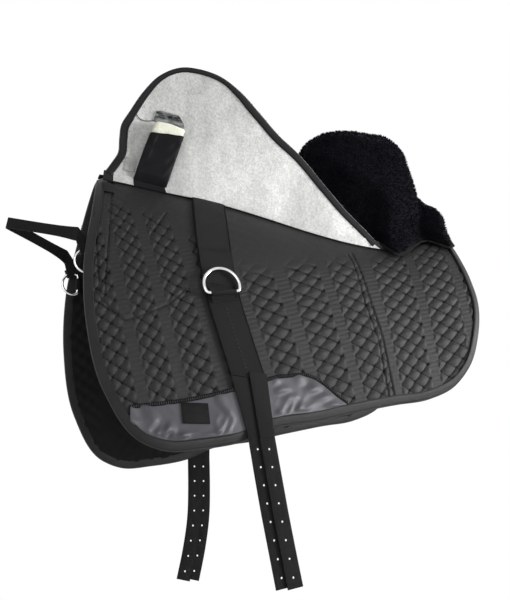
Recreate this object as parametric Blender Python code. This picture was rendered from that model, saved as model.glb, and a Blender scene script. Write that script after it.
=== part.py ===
"""Bareback pad: a quilted pad with a girth web and a lambskin seat.

Metres. +X runs to the horse's tail, +Y to the far side, +Z up. The origin is on the
underside of the spine at the girth web, where the pad rests on the horse's back.
The near half of the seat (its wing) stands lifted, the far half lies down.
"""
import math

import bmesh
import bpy
import numpy as np
from mathutils import Matrix, Vector

NEAR, FAR = -1, 1
SIDES = (("near", NEAR), ("far", FAR))
CLEARANCE = 0.0003

# Pad shape: the spine's profile and the fall of the flaps
PAD_LENGTH = 0.720
FRONT_REACH = 0.232
FLAP_DEPTH = 0.510
SPINE_DIP = 0.044
SPINE_SHARES = ((-0.05, 0.43), (0.129, 0.23), (0.218, 0.12), (0.322, 0.0), (0.457, -0.33), (0.582, -0.70),
                (0.697, -0.95), (0.794, -1.0), (0.878, -0.82), (0.961, -0.45), (1.05, -0.09))
FRONT_SLOPE = math.radians(38)
REAR_SLOPE = math.radians(20)
LOW_SLOPE = math.radians(79)
SLOPE_RUN = 0.090
CREST_ROUND = 0.020
CREST_STEPS = 3
SURFACE_STEPS = 40
HEIGHT_SEARCH_STEPS = 30
TANGENT_SHARE = 0.001
MITRE_LIMIT = 0.5
SHARP_ANGLE = math.radians(35)
ACROSS_SHARES = (-0.5, 0.0, 0.5)

# Flap outline from the spine's front end round to its rear end, as (length, depth) shares
OUTLINE_SHARES = ((0.044, 0.0), (0.025, 0.186), (0.004, 0.422), (0.011, 0.622), (0.050, 0.837),
                  (0.125, 0.978), (0.178, 1.0), (0.251, 0.986), (0.340, 0.953), (0.418, 0.890),
                  (0.524, 0.837), (0.607, 0.788), (0.739, 0.729), (0.819, 0.710), (0.892, 0.678),
                  (0.940, 0.625), (0.979, 0.523), (1.0, 0.408), (0.999, 0.298), (0.993, 0.199), (0.990, 0.0))
FRONT_CORNER, REAR_CORNER = 5, 15
EDGE_BAND = 0.014
COLUMNS = 10
ROW_SHARES = (0.10, 0.22, 0.37, 0.54, 0.72, 0.88, 1.0)

# Cloth layers, from the lining outwards
LINING = 0.0015
WADDING = 0.0070
RIM_WADDING = 0.0025
CLOTH = 0.0015
TRIM = 0.0006
WEB = 0.0020
HIDE = 0.0020
WEB_EASE = 0.0009
SEAT_EASE = 0.0016
WADDING_BASE = LINING + CLEARANCE
CLOTH_BASE = WADDING_BASE + WADDING + CLEARANCE
CLOTH_TOP = CLOTH_BASE + CLOTH
RIM_CLOTH_BASE = WADDING_BASE + RIM_WADDING + CLEARANCE
RIM_CLOTH_TOP = RIM_CLOTH_BASE + CLOTH
TRIM_BASE = CLOTH_TOP + CLEARANCE
TRIM_TOP = TRIM_BASE + TRIM
WEB_BASE = TRIM_TOP + WEB_EASE
WEB_TOP = WEB_BASE + WEB
SECOND_WEB_BASE = WEB_TOP + CLEARANCE
SECOND_WEB_TOP = SECOND_WEB_BASE + WEB
SEAT_BASE = WEB_TOP + SEAT_EASE
SEAT_TOP = SEAT_BASE + HIDE
PILE_BASE = SEAT_TOP + CLEARANCE

SPINE_TAPE_WIDTH = 0.040
UNDER_PILE = 0.012
UNDER_PILE_EDGE = 0.004
UNDER_PILE_ROWS = 7

# Girth web: its centre line as (along the pad, down the flap), and where it ends
WEB_WIDTH = 0.050
WEB_LINE = ((0.0, 0.0), (-0.008, 0.060), (-0.011, 0.140), (-0.004, 0.235), (0.013, 0.310), (0.031, 0.380))
WEB_STATIONS = 18

# Billets: width, holes and how they hang
BILLET_WIDTH = 0.025
BILLET_HOLES = 8
HOLE_PITCH = 0.027
HOLE_DIAMETER = 0.0034
HOLE_SIDES = 8
HOLE_START = math.radians(225)
FIRST_HOLE = 0.0175
BILLET_TIP = 0.0155
BILLET_END_HALF = 0.0003
BILLET_TAPER = 0.0025
EXIT_BELOW_EDGE = 0.004
FRONT_EXIT_X = 0.036
REAR_EXIT_X = 0.054
REAR_ROOT_LAP = 0.010
ROOT_STEPS = 5
NEAR_SWAY = 0.044
FAR_SWAY = -0.017
NEAR_SWAY_SHARES = ((0.0, 0.0), (0.25, 0.23), (0.5, 0.47), (0.75, 0.73), (1.0, 1.0))
FAR_SWAY_SHARES = ((0.0, 0.0), (0.25, -0.10), (0.5, -0.06), (0.75, 0.35), (1.0, 1.0))

# Girth rings on the web
RING_RADIUS = 0.031
RING_CHORD_DROP = 0.013
RING_WIRE = 0.0028
RING_DEPTH = 0.238
RING_X = -0.0035
KEEPER_WIDTH = 0.044
KEEPER_FOOT = 0.011
KEEPER_TOE = 0.003
KEEPER_RISE = math.radians(-20)
KEEPER_TAPE = 0.0012
KEEPER_EASE = 0.0006
KEEPER_STEPS = 8
RING_SEGMENTS = 20
WIRE_SIDES = 6

# Front rings and the grab strap, whose route is (ahead of the ring, out, up)
FRONT_RING_RADIUS = 0.019
FRONT_RING_CHORD = 0.008
FRONT_RING_WIRE = 0.0022
FRONT_RING_BACK = 0.0115
FRONT_RING_X = FRONT_RING_BACK - FRONT_REACH
FRONT_RING_Y = 0.073
FRONT_RING_Z = -0.149
FRONT_KEEPER_WIDTH = 0.020
FRONT_KEEPER_FOOT = 0.020
FRONT_KEEPER_SEAT = 0.0016
FRONT_KEEPER_START = math.radians(-60)
FRONT_KEEPER_WRAP = math.radians(240)
STRAP_WIDTH = 0.025
STRAP_THICKNESS = 0.0025
STRAP_LOOP_WIDTH = 0.013
STRAP_FLARE_WIDTH = 0.018
STRAP_LOOP_STEPS = 6
STRAP_LOOP_RADIUS = 0.0056
STRAP_LOOP_TAIL = 0.010
STRAP_RISE_ANGLE = math.radians(70)
STRAP_ROUTE = ((-0.0095, 0.068, -0.1110), (-0.0195, 0.063, -0.1015), (-0.0415, 0.049, -0.0945),
               (-0.0795, 0.027, -0.0850), (-0.1125, 0.010, -0.0770), (-0.1245, 0.0035, -0.0740))

# Lambskin wings: hinge line, curl and outline in the wing's own (along, out) metres
HINGE_BACK = 0.036
HINGE_FRONT = (HINGE_BACK - FRONT_REACH, 0.014)
HINGE_REAR = (0.340, 0.050)
HINGE_FRONT_LIFT = CLOTH_TOP + 0.010
HINGE_REAR_LIFT = CLOTH_TOP + 0.006
WING_LEAN = math.radians(4)
WING_CURL = math.radians(35)
WING_REACH = 0.230
WING_LOWER = math.radians(122)
WING_ROOT = 0.003
ROOT_BOW = 0.004
ROOT_BOW_SHARES = ((0.0, -1.2), (0.2, 0.2), (0.4, 0.4), (0.6, -0.4), (0.8, -1.2), (1.0, -0.6))
WING_OUTLINE = ((0.005, WING_ROOT), (0.0145, 0.027), (0.0205, 0.045), (0.0175, 0.072), (0.0155, 0.0955),
                (0.025, 0.126), (0.040, 0.165), (0.0605, 0.199), (0.096, 0.2243), (0.128, 0.230),
                (0.166, 0.228), (0.206, 0.2136), (0.252, 0.186), (0.2985, 0.1557), (0.344, 0.132),
                (0.407, 0.087), (0.4585, 0.049), (0.494, 0.026), (0.525, WING_ROOT))
WING_FRONT_CORNER, WING_REAR_CORNER = 6, 17
WING_COLUMNS = 10
WING_ROW_SHARES = (0.0, 0.10, 0.20, 0.31, 0.42, 0.53, 0.65, 0.77, 0.89, 1.0)
BINDING_BAND = 0.013
PILE = 0.013
ROOT_PILE = 0.004
PILE_ROOT = 0.012
PILE_BAND_GAP = 0.005
PILE_FULL = 0.050

# Thigh block, its pocket and the pocket's flap, in the wing's (along, out) metres
POCKET_ALONG = 0.097
POCKET_WIDTH = 0.060
POCKET_BOTTOM = 0.012
POCKET_MOUTH = 0.107
POCKET_WALL = 0.0012
BLOCK_EASE = 0.0006
ON_CURL = 0.0007
FLAP_THICKNESS = 0.0010
BLOCK_BASE = ON_CURL + FLAP_THICKNESS + BLOCK_EASE
BLOCK_SHOWS = 0.010
BLOCK_DEPTH = 0.020
BLOCK_FOOT_DEPTH = 0.006
BLOCK_TRAVEL_ROWS = 6
FLAP_LENGTH = 0.022
LOOP_TAPE = (0.037, 0.055, 0.016, 0.042)
TAPE_THICKNESS = 0.0012
TAPE_ROWS, TAPE_COLUMNS = 3, 2

# Hook tape as (from, to) behind the pad's front and down the flap
HOOK_TAPE = (0.036, 0.056, 0.030, 0.056)

# Seat strip between the wings, with the raised cantle
SEAT_REAR = 0.476
SEAT_HALF_WIDTH = 0.080
SEAT_LENGTH = SEAT_REAR - HINGE_FRONT[0]
SEAT_HINGE_GAP = 0.008
SEAT_STATION_SHARES = (0.0, 0.5535, 0.565, 0.59, 0.63, 0.69, 0.74, 0.7798, 0.8155, 0.84, 0.885, 0.911, 0.933,
                       0.952, 0.982, 1.0)
STATION_GAP = 0.004
SEAT_LOBE_SHARES = ((0.7798, 0.515), (0.8155, 0.98), (0.825, 1.0), (0.84, 0.92), (0.875, 0.70), (0.906, 0.52),
                    (0.933, 0.52), (0.952, 0.70), (0.982, 0.97), (1.0, 0.90))
CANTLE_HEIGHT = 0.200
CANTLE_HALF_WIDTH = 0.070
CANTLE_SHARES = ((0.5536, 0.0, 0.20, 0.22), (0.565, 0.56, 0.24, 0.24), (0.59, 0.77, 0.27, 0.62),
                 (0.63, 0.88, 0.32, 0.78), (0.69, 0.965, 0.36, 0.90), (0.747, 1.0, 0.42, 0.96),
                 (0.7798, 1.0, 0.48, 0.98), (0.8155, 1.0, 0.84, 1.0), (0.84, 0.98, 0.82, 0.96),
                 (0.885, 0.88, 0.66, 0.88), (0.911, 0.74, 0.54, 0.76), (0.933, 0.50, 0.56, 0.56),
                 (0.952, 0.35, 0.72, 0.72), (0.982, 0.26, 0.94, 0.94), (1.0, 0.12, 0.90, 0.90))
NECK_CLEARANCE = 0.014
NECK_SHARE = 0.86
SHOULDER_HEIGHT_SHARE = 0.40
CROWN_SHARES = ((0.84, 0.76), (0.46, 0.96))
NECK_HEIGHT_SHARE = 0.6
PILE_FRONT_SHARE = 0.2
PILE_SIDE_MARGIN = 0.0083
PILE_REAR_MARGIN = 0.002
SEAT_PILE = 0.014
FOOT_MARGIN = 0.005
FOAM_INSET = 0.009
FOAM_GAP = 0.004
FOAM_LEAST = 0.080
CREST_LINE_SHARES = (0.3, 0.6)
CROWN_SHARE = 0.76

# Wear patch and label: (along the pad, down the flap)
PATCH_TOP = ((-0.158, 0.446), (-0.140, 0.442), (-0.103, 0.434), (-0.050, 0.420), (-0.011, 0.407),
             (0.040, 0.386), (0.078, 0.366), (0.106, 0.357), (0.133, 0.350), (0.158, 0.357), (0.184, 0.374),
             (0.200, 0.383))
PATCH_MARGIN = 0.0012
PATCH_ROWS = 3
LABEL_CENTRE = (-0.058, 0.449)
LABEL_SIZE = (0.043, 0.033)
LABEL_THICKNESS = 0.0008
LABEL_TURN = math.radians(-4)

MATERIALS = {}


def material(name, colour, roughness, metallic=0.0):
    made = bpy.data.materials.new(name)
    made.use_nodes = True
    shader = made.node_tree.nodes["Principled BSDF"]
    shader.inputs["Base Color"].default_value = (*colour, 1.0)
    shader.inputs["Roughness"].default_value = roughness
    shader.inputs["Metallic"].default_value = metallic
    made.diffuse_color = (*colour, 1.0)
    MATERIALS[name] = made


def cubic(table, at):
    """Smooth curve through rows of (at, value, ...), as an array of the values."""
    rows = np.asarray(table, float)
    keys, values = rows[:, 0], rows[:, 1:]
    slopes = np.gradient(values, keys, axis=0)
    at = min(max(at, keys[0]), keys[-1])
    low = min(max(int(np.searchsorted(keys, at)) - 1, 0), len(keys) - 2)
    span = keys[low + 1] - keys[low]
    t = (at - keys[low]) / span
    return ((2 * t**3 - 3 * t**2 + 1) * values[low] + (t**3 - 2 * t**2 + t) * span * slopes[low]
            + (3 * t**2 - 2 * t**3) * values[low + 1] + (t**3 - t**2) * span * slopes[low + 1])


def straight(table, at):
    """Straight lines through rows of (at, value, ...), as an array of the values."""
    rows = np.asarray(table, float)
    return np.array([np.interp(at, rows[:, 0], column) for column in rows[:, 1:].T])


def length_share(x):
    return (x + FRONT_REACH) / PAD_LENGTH


def crest_stations():
    """Places along the spine at which every layer has a row of points."""
    band = EDGE_BAND + CLEARANCE + TRIM
    front = OUTLINE_SHARES[0][0] * PAD_LENGTH - FRONT_REACH + band
    rear = OUTLINE_SHARES[-1][0] * PAD_LENGTH - FRONT_REACH - band
    return [front + (rear - front) * k / COLUMNS for k in range(COLUMNS + 1)]


def spine_profile():
    """The spine's height shares, straight between the stations that the layers share."""
    shares = [SPINE_SHARES[0][0]] + [length_share(x) for x in crest_stations()] + [SPINE_SHARES[-1][0]]
    return [(share, cubic(SPINE_SHARES, share)[0]) for share in shares]


SPINE_PROFILE = spine_profile()


def slope(x, down):
    """Angle of the flap below the horizontal, with the spine rounded over."""
    top = FRONT_SLOPE + (REAR_SLOPE - FRONT_SLOPE) * min(max(length_share(x), 0.0), 1.0)
    roll = min(down / CREST_ROUND, 1.0)
    return (LOW_SLOPE - (LOW_SLOPE - top) * math.exp(-down / SLOPE_RUN)) * roll * roll * (3 - 2 * roll)


def on_pad(x, down, side, lift=0.0):
    """World point at a distance down the flap, lifted off the lining's inner face."""
    out, drop = CLEARANCE / 2, 0.0
    step = down / SURFACE_STEPS
    for index in range(SURFACE_STEPS):
        angle = slope(x, (index + 0.5) * step)
        out += math.cos(angle) * step
        drop += math.sin(angle) * step
    angle = slope(x, down)
    height = SPINE_DIP * straight(SPINE_PROFILE, length_share(x))[0]
    return Vector((x, side * (out + math.sin(angle) * lift), height - drop + math.cos(angle) * lift))


def across_pad(x, offset, lift=0.0):
    """World point at a signed distance from the spine, negative on the near side."""
    if offset == 0:
        point = on_pad(x, 0.0, FAR, lift)
        point.y = 0.0
        return point
    return on_pad(x, abs(offset), math.copysign(1, offset), lift)


def add_solid(name, points, faces, look, origin=None):
    """One closed body, its faces turned outwards, with its origin where asked."""
    origin = Vector((0, 0, 0)) if origin is None else Vector(origin)
    mesh = bpy.data.meshes.new(name)
    mesh.from_pydata([Vector(point) - origin for point in points], [], faces)
    shape = bmesh.new()
    shape.from_mesh(mesh)
    bmesh.ops.recalc_face_normals(shape, faces=shape.faces)
    if shape.calc_volume(signed=True) < 0:
        bmesh.ops.reverse_faces(shape, faces=shape.faces)
    bmesh.ops.triangulate(shape, faces=[face for face in shape.faces if len(face.verts) > 4])
    shape.to_mesh(mesh)
    shape.free()
    mesh.shade_smooth()
    mesh.set_sharp_from_angle(angle=SHARP_ANGLE)
    mesh.materials.append(MATERIALS[look])
    made = bpy.data.objects.new(name, mesh)
    made.location = origin
    bpy.context.scene.collection.objects.link(made)
    return made


def grid_quads(rows, columns):
    """Quads of a grid of points stored row after row."""
    width = columns + 1
    return [(j * width + i, j * width + i + 1, (j + 1) * width + i + 1, (j + 1) * width + i)
            for j in range(rows) for i in range(columns)]


def add_sheet(name, low, high, quads, look, origin=None):
    """Closed body between two matching sets of points, walled along every open edge."""
    count = len(low)
    halves = [half for a, b, c, d in quads for half in ((a, b, c), (a, c, d))]
    faces = [tuple(reversed(half)) for half in halves]
    faces += [tuple(index + count for index in half) for half in halves]
    open_edges = {}
    for quad in quads:
        for edge in zip(quad, quad[1:] + quad[:1]):
            if open_edges.pop(frozenset(edge), None) is None:
                open_edges[frozenset(edge)] = edge
    faces += [(start, end, end + count, start + count) for start, end in open_edges.values()]
    return add_solid(name, list(low) + list(high), faces, look, origin)


def add_sweep(name, rings, look, origin=None, closed=False, crossed=()):
    """Closed body through matching rings of points; sides in crossed split the other way."""
    sides = len(rings[0])
    points = [point for ring in rings for point in ring]
    faces = []
    spans = len(rings) if closed else len(rings) - 1
    for k in range(spans):
        base, after = k * sides, (k + 1) % len(rings) * sides
        for i in range(sides):
            a, b, c, d = base + i, base + (i + 1) % sides, after + (i + 1) % sides, after + i
            faces += [(a, b, d), (b, c, d)] if i in crossed else [(a, b, c), (a, c, d)]
    if not closed:
        faces += [tuple(range(sides)), tuple((len(rings) - 1) * sides + i for i in range(sides))]
    return add_solid(name, points, faces, look, origin)


def add_ribbon(name, centres, acrosses, widths, thickness, look, origin=None):
    """Flat strap along its centres, its width along each across vector."""
    rings = []
    last = len(centres) - 1
    for k, (centre, across, width) in enumerate(zip(centres, acrosses, widths)):
        tangent = (centres[min(k + 1, last)] - centres[max(k - 1, 0)]).normalized()
        across = (across - tangent * across.dot(tangent)).normalized() * width / 2
        normal = tangent.cross(across).normalized() * thickness / 2
        rings.append([centre - across - normal, centre + across - normal,
                      centre + across + normal, centre - across + normal])
    return add_sweep(name, rings, look, origin)


class Patch:
    """Grid over an outline, with a strip round its three free sides for the binding.

    The outline runs from the start of the straight side round to its end. Points are
    kept in the sheet's own two coordinates.
    """

    def __init__(self, outline, corners, row_shares, columns, band, fixed_rows=(), bow=None):
        outline = np.asarray(outline, float)
        steps = np.linalg.norm(np.diff(outline, axis=0), axis=1)
        keys = np.concatenate([[0.0], np.cumsum(steps)])
        table = np.column_stack([keys, outline])
        rows = len(row_shares) - 1
        first, second = keys[corners[0]], keys[corners[1]]
        column_shares = np.arange(1, columns) / columns
        stops = [first * share for share in row_shares]
        stops += [first + (second - first) * share for share in column_shares]
        stops += [second + (keys[-1] - second) * (1 - share) for share in reversed(row_shares)]
        self.outer = [cubic(table, stop) for stop in stops]
        self.outward = []
        for stop in stops:
            nudge = keys[-1] * TANGENT_SHARE
            ahead = cubic(table, min(stop + nudge, keys[-1])) - cubic(table, max(stop - nudge, 0.0))
            normal = np.array([-ahead[1], ahead[0]]) / np.linalg.norm(ahead)
            self.outward.append(normal)
        for end, sign in ((0, -1.0), (-1, 1.0)):
            self.outward[end] = np.array([sign, 0.0])
        inner = [point - normal * band for point, normal in zip(self.outer, self.outward)]
        front = inner[:rows + 1]
        low = inner[rows:rows + columns + 1]
        rear = inner[:rows + columns - 1:-1]
        self.inner = inner
        self.rows, self.columns = rows, columns
        self.points = []
        for j, t in enumerate(row_shares):
            for i in range(columns + 1):
                s = i / columns
                top = front[0] * (1 - s) + rear[0] * s
                if bow and 0 < i < columns:
                    top = top + np.array([0.0, bow(s)])
                bottom = low[i]
                bilinear = ((1 - s) * (1 - t) * front[0] + s * (1 - t) * rear[0]
                            + (1 - s) * t * front[-1] + s * t * rear[-1])
                point = (1 - s) * front[j] + s * rear[j] + (1 - t) * top + t * bottom - bilinear
                if 0 < j < len(fixed_rows):
                    point[1] = fixed_rows[j]
                self.points.append(point)
        width = columns + 1
        chain = [j * width for j in range(rows + 1)]
        chain += [rows * width + i for i in range(1, columns + 1)]
        chain += [j * width + columns for j in range(rows - 1, -1, -1)]
        for k, index in enumerate(chain):
            if 0 < k < len(fixed_rows) or 0 < len(chain) - 1 - k < len(fixed_rows):
                fixed = fixed_rows[min(k, len(chain) - 1 - k)]
                self.outer[k][1] = fixed
                self.inner[k][1] = fixed
                self.outward[k] = np.array([-1.0 if k < rows else 1.0, 0.0])
            self.inner[k] = self.points[index]
        self.rim_start = len(self.points)
        self.points += self.outer
        self.quads = grid_quads(rows, columns)
        self.quads += [(chain[k + 1], self.rim_start + k + 1, self.rim_start + k, chain[k])
                       for k in range(len(chain) - 1)]

    def sheet(self, name, place, low, high, look, rim_low=None, rim_high=None, origin=None):
        """Closed sheet between two lifts, which may differ along the rim."""
        rim_low = low if rim_low is None else rim_low
        rim_high = high if rim_high is None else rim_high
        under = [place(p, low if k < self.rim_start else rim_low) for k, p in enumerate(self.points)]
        over = [place(p, high if k < self.rim_start else rim_high) for k, p in enumerate(self.points)]
        return add_sheet(name, under, over, self.quads, look, origin)

    def field(self, name, place, low, lift_at, look, rows, columns, origin=None):
        """Closed sheet over part of the inner grid, its upper lift set point by point."""
        width = self.columns + 1
        picked = [j * width + i for j in rows for i in columns]
        under = [place(self.points[k], low) for k in picked]
        over = [place(self.points[k], lift_at(j, i)) for j in rows for i in columns for k in [j * width + i]]
        return add_sheet(name, under, over, grid_quads(len(rows) - 1, len(columns) - 1), look, origin)

    def binding(self, name, place, low, high, rim_low, rim_high, look, origin=None):
        """Folded tape round the free edge, a clearance off the sheets that it wraps."""
        rings = []
        near, far = CLEARANCE, CLEARANCE + TRIM
        for inner, outer, outward in zip(self.inner, self.outer, self.outward):
            rings.append([place(inner, high + far), place(outer + outward * far, rim_high + far),
                          place(outer + outward * far, rim_low - far), place(inner, low - far),
                          place(inner, low - near), place(outer + outward * near, rim_low - near),
                          place(outer + outward * near, rim_high + near), place(inner, high + near)])
        return add_sweep(name, rings, look, origin, crossed=(0, 4))


def pad_patch():
    wrap = CLEARANCE + TRIM
    outline = [(share * PAD_LENGTH - FRONT_REACH, depth * FLAP_DEPTH) for share, depth in OUTLINE_SHARES]
    outline = inset_outline(outline, wrap)
    crest_rows = [CREST_ROUND * k / CREST_STEPS for k in range(CREST_STEPS + 1)]
    shares = [row / FLAP_DEPTH for row in crest_rows]
    shares += [shares[-1] + (1 - shares[-1]) * share for share in ROW_SHARES]
    return Patch(outline, (FRONT_CORNER, REAR_CORNER), shares, COLUMNS, EDGE_BAND, crest_rows)


def inset_outline(outline, distance):
    """Outline moved inwards by a distance, its ends moved only along the straight side."""
    outline = np.asarray(outline, float)
    ahead = np.gradient(outline, axis=0)
    normal = np.column_stack([-ahead[:, 1], ahead[:, 0]]) / np.linalg.norm(ahead, axis=1)[:, None]
    normal[0], normal[-1] = (-1.0, 0.0), (1.0, 0.0)
    return outline - normal * distance


def make_pad(patch):
    """Lining, wadding, outer cloth and edge binding of both flaps, and the spine tape."""
    for label, side in SIDES:
        def place(point, lift, side=side):
            return on_pad(point[0], max(point[1], 0.0), side, lift)
        patch.sheet(f"{label}_lining", place, 0.0, LINING, "lining")
        patch.sheet(f"{label}_wadding", place, WADDING_BASE, WADDING_BASE + WADDING, "wadding",
                    WADDING_BASE, WADDING_BASE + RIM_WADDING)
        patch.sheet(f"{label}_outer_cloth", place, CLOTH_BASE, CLOTH_TOP, "quilt",
                    RIM_CLOTH_BASE, RIM_CLOTH_TOP)
        patch.binding(f"{label}_edge_binding", place, 0.0, CLOTH_TOP, 0.0, RIM_CLOTH_TOP, "binding")
        rows = range(1, UNDER_PILE_ROWS + 1)
        columns = range(1, patch.columns)
        last_row, last_column = UNDER_PILE_ROWS, patch.columns - 1

        def under(j, i):
            edge = j in (1, last_row) or i in (1, last_column)
            return -CLEARANCE - (UNDER_PILE_EDGE if edge else UNDER_PILE)
        patch.field(f"{label}_under_pile", place, -CLEARANCE, under, "fleece", rows, columns)
    tape_half = SPINE_TAPE_WIDTH / 2
    offsets = [tape_half * k / CREST_STEPS for k in range(-CREST_STEPS, CREST_STEPS + 1)]
    stations = [point[0] for point in patch.points[:patch.columns + 1]]
    stations[0] += PATCH_MARGIN
    stations[-1] -= PATCH_MARGIN
    low = [across_pad(x, offset, TRIM_BASE) for x in stations for offset in offsets]
    high = [across_pad(x, offset, TRIM_TOP) for x in stations for offset in offsets]
    add_sheet("spine_tape", low, high, grid_quads(len(stations) - 1, len(offsets) - 1), "binding")


def web_centre(down):
    return cubic([(depth, x) for x, depth in WEB_LINE], down)[0]


def web_end():
    return WEB_LINE[-1][1]


def flap_edge(patch, x):
    """Distance down to the flap's lower edge at a place along the pad."""
    lower = patch.outer[patch.rows:patch.rows + patch.columns + 1]
    low_edge = sorted((point[0], point[1]) for point in lower)
    return float(np.interp(x, [p[0] for p in low_edge], [p[1] for p in low_edge]))


def billet_height(patch):
    """Height of the level line just below the flap's edge at which the billets start."""
    return on_pad(FRONT_EXIT_X, flap_edge(patch, FRONT_EXIT_X) + EXIT_BELOW_EDGE, FAR).z


def strip_on_pad(name, line, width, height, side, low, high, look, steps):
    """Strap lying on the pad along a line of (down, x), two quads wide, its lower end level."""
    downs = [line[0][0] + (line[-1][0] - line[0][0]) * k / steps for k in range(steps)]
    spots = [(down, straight(line, down)[0] + width * share) for down in downs for share in ACROSS_SHARES]
    across = [line[-1][1] + width * share for share in ACROSS_SHARES]
    spots += [(depth_at_height(x, height, side), x) for x in across]
    under = [on_pad(x, down, side, low) for down, x in spots]
    over = [on_pad(x, down, side, high) for down, x in spots]
    add_sheet(name, under, over, grid_quads(steps, 2), look)


def make_web(patch):
    """Girth web over the spine, and the billet roots sewn to its ends."""
    crest = [CREST_ROUND * k / CREST_STEPS for k in range(CREST_STEPS + 1)]
    rest = [CREST_ROUND + (web_end() - CREST_ROUND) * (k + 1) / WEB_STATIONS for k in range(WEB_STATIONS)]
    downs = crest + rest
    offsets = [-down for down in reversed(downs[1:])] + downs
    spots = [(offset, web_centre(abs(offset)) + WEB_WIDTH * share) for offset in offsets
             for share in ACROSS_SHARES]
    low = [across_pad(x, offset, WEB_BASE) for offset, x in spots]
    high = [across_pad(x, offset, WEB_TOP) for offset, x in spots]
    add_sheet("girth_web", low, high, grid_quads(len(offsets) - 1, 2), "webbing")
    end_x = web_centre(web_end())
    height = billet_height(patch)
    for label, side in SIDES:
        front_line = ((web_end() + CLEARANCE, end_x - BILLET_WIDTH / 2),
                      (depth_at_height(FRONT_EXIT_X, height, side), FRONT_EXIT_X))
        rear_line = ((web_end() - REAR_ROOT_LAP, end_x + BILLET_WIDTH / 2),
                     (depth_at_height(REAR_EXIT_X, height, side), REAR_EXIT_X))
        strip_on_pad(f"{label}_front_billet_root", front_line, BILLET_WIDTH, height, side, WEB_BASE, WEB_TOP,
                     "webbing", ROOT_STEPS)
        strip_on_pad(f"{label}_rear_billet_root", rear_line, BILLET_WIDTH, height, side, SECOND_WEB_BASE,
                     SECOND_WEB_TOP, "webbing", ROOT_STEPS)


def make_billets(patch):
    """Four punched billets, each hinged just below the flap's edge."""
    for label, side in SIDES:
        sway, shares = (NEAR_SWAY, NEAR_SWAY_SHARES) if side == NEAR else (FAR_SWAY, FAR_SWAY_SHARES)
        for place_name, exit_x, lift in (("front", FRONT_EXIT_X, WEB_BASE + WEB / 2),
                                         ("rear", REAR_EXIT_X, SECOND_WEB_BASE + WEB / 2)):
            top = on_pad(exit_x, depth_at_height(exit_x, billet_height(patch), side), side, lift)
            top.z -= BILLET_END_HALF + CLEARANCE
            add_billet(f"{label}_{place_name}_billet", top, side, sway, shares)


def add_billet(name, top, side, sway, sway_shares):
    length = FIRST_HOLE + HOLE_PITCH * (BILLET_HOLES - 1) + BILLET_TIP

    def centre(down):
        return Vector((top.x + sway * cubic(sway_shares, down / length)[0], top.y, top.z - down))

    def spot(down, across, half):
        nudge = length * TANGENT_SHARE
        along = (centre(min(down + nudge, length)) - centre(max(down - nudge, 0.0))).normalized()
        turned = min(down / HOLE_PITCH, 1.0)
        sideways = Vector((1, 0, 0)).lerp(Vector((-along.z, 0, along.x)), turned).normalized()
        return centre(down) + sideways * across + Vector((0, side * half, 0))

    half_width, radius = BILLET_WIDTH / 2, HOLE_DIAMETER / 2
    spots, halves, quads = [], [], []

    def add_row(down, half):
        for share in (-1, 0, 1):
            spots.append((down, share * half_width))
            halves.append(half)

    start = BILLET_END_HALF
    add_row(start, BILLET_END_HALF)
    add_row(start + BILLET_TAPER, WEB / 2)
    quads += [(0, 1, 4, 3), (1, 2, 5, 4)]
    upper = 3
    for hole in range(BILLET_HOLES):
        down = FIRST_HOLE + HOLE_PITCH * hole
        last = hole == BILLET_HOLES - 1
        sides = len(spots)
        spots += [(down, half_width), (down, -half_width)]
        ring = len(spots)
        for turn in range(HOLE_SIDES):
            angle = HOLE_START + 2 * math.pi * turn / HOLE_SIDES
            spots.append((down + radius * math.sin(angle), radius * math.cos(angle)))
        halves += [WEB / 2] * (HOLE_SIDES + 2)
        lower = len(spots)
        add_row(length if last else down + HOLE_PITCH / 2, WEB / 2)
        around = (upper, upper + 1, upper + 2, sides, lower + 2, lower + 1, lower, sides + 1)
        quads += [(around[k], around[(k + 1) % HOLE_SIDES], ring + (k + 1) % HOLE_SIDES, ring + k)
                  for k in range(HOLE_SIDES)]
        upper = lower
    low = [spot(down, across, -half) for (down, across), half in zip(spots, halves)]
    high = [spot(down, across, half) for (down, across), half in zip(spots, halves)]
    add_sheet(name, low, high, quads, "webbing", top)


def ring_rings(centre, radius, chord_drop, wire, out_axis, up_axis):
    """Rings of wire sections round a D: a circle cut by a straight bar below its centre."""
    start = math.acos(chord_drop / radius)
    turns = [start + (2 * math.pi - 2 * start) * k / RING_SEGMENTS for k in range(RING_SEGMENTS + 1)]
    path = [centre + up_axis * (-math.cos(turn) * radius) + out_axis * (math.sin(turn) * radius)
            for turn in turns]
    normal = out_axis.cross(up_axis).normalized()
    rings = []
    for k, point in enumerate(path):
        before, after = path[k - 1], path[(k + 1) % len(path)]
        inward, outward = (point - before).normalized(), (after - point).normalized()
        tangent = (inward + outward).normalized()
        sideways = normal.cross(tangent).normalized()
        stretch = 1 / max(inward.dot(tangent), MITRE_LIMIT)
        rings.append([point + (sideways * math.cos(turn) * stretch + normal * math.sin(turn)) * wire
                      for turn in (2 * math.pi * side / WIRE_SIDES for side in range(WIRE_SIDES))])
    return rings


def web_frame(side):
    """Point on the web under the girth ring's bar, and the way out of, down and along it."""
    spot = on_pad(RING_X, RING_DEPTH, side, WEB_TOP)
    out = (on_pad(RING_X, RING_DEPTH, side, WEB_TOP + WEB) - spot).normalized()
    lower = on_pad(RING_X, RING_DEPTH + WEB_WIDTH, side, WEB_TOP)
    lean = math.atan2(web_centre(RING_DEPTH + WEB_WIDTH) - web_centre(RING_DEPTH - WEB_WIDTH), 2 * WEB_WIDTH)
    down = (lower - spot).normalized()
    down = (down - out * down.dot(out)).normalized()
    level = Vector((1, 0, 0))
    along = (level * math.cos(lean) - down * math.sin(lean)).normalized()
    down = (down * math.cos(lean) + level * math.sin(lean)).normalized()
    return spot, out, down, along


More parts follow.
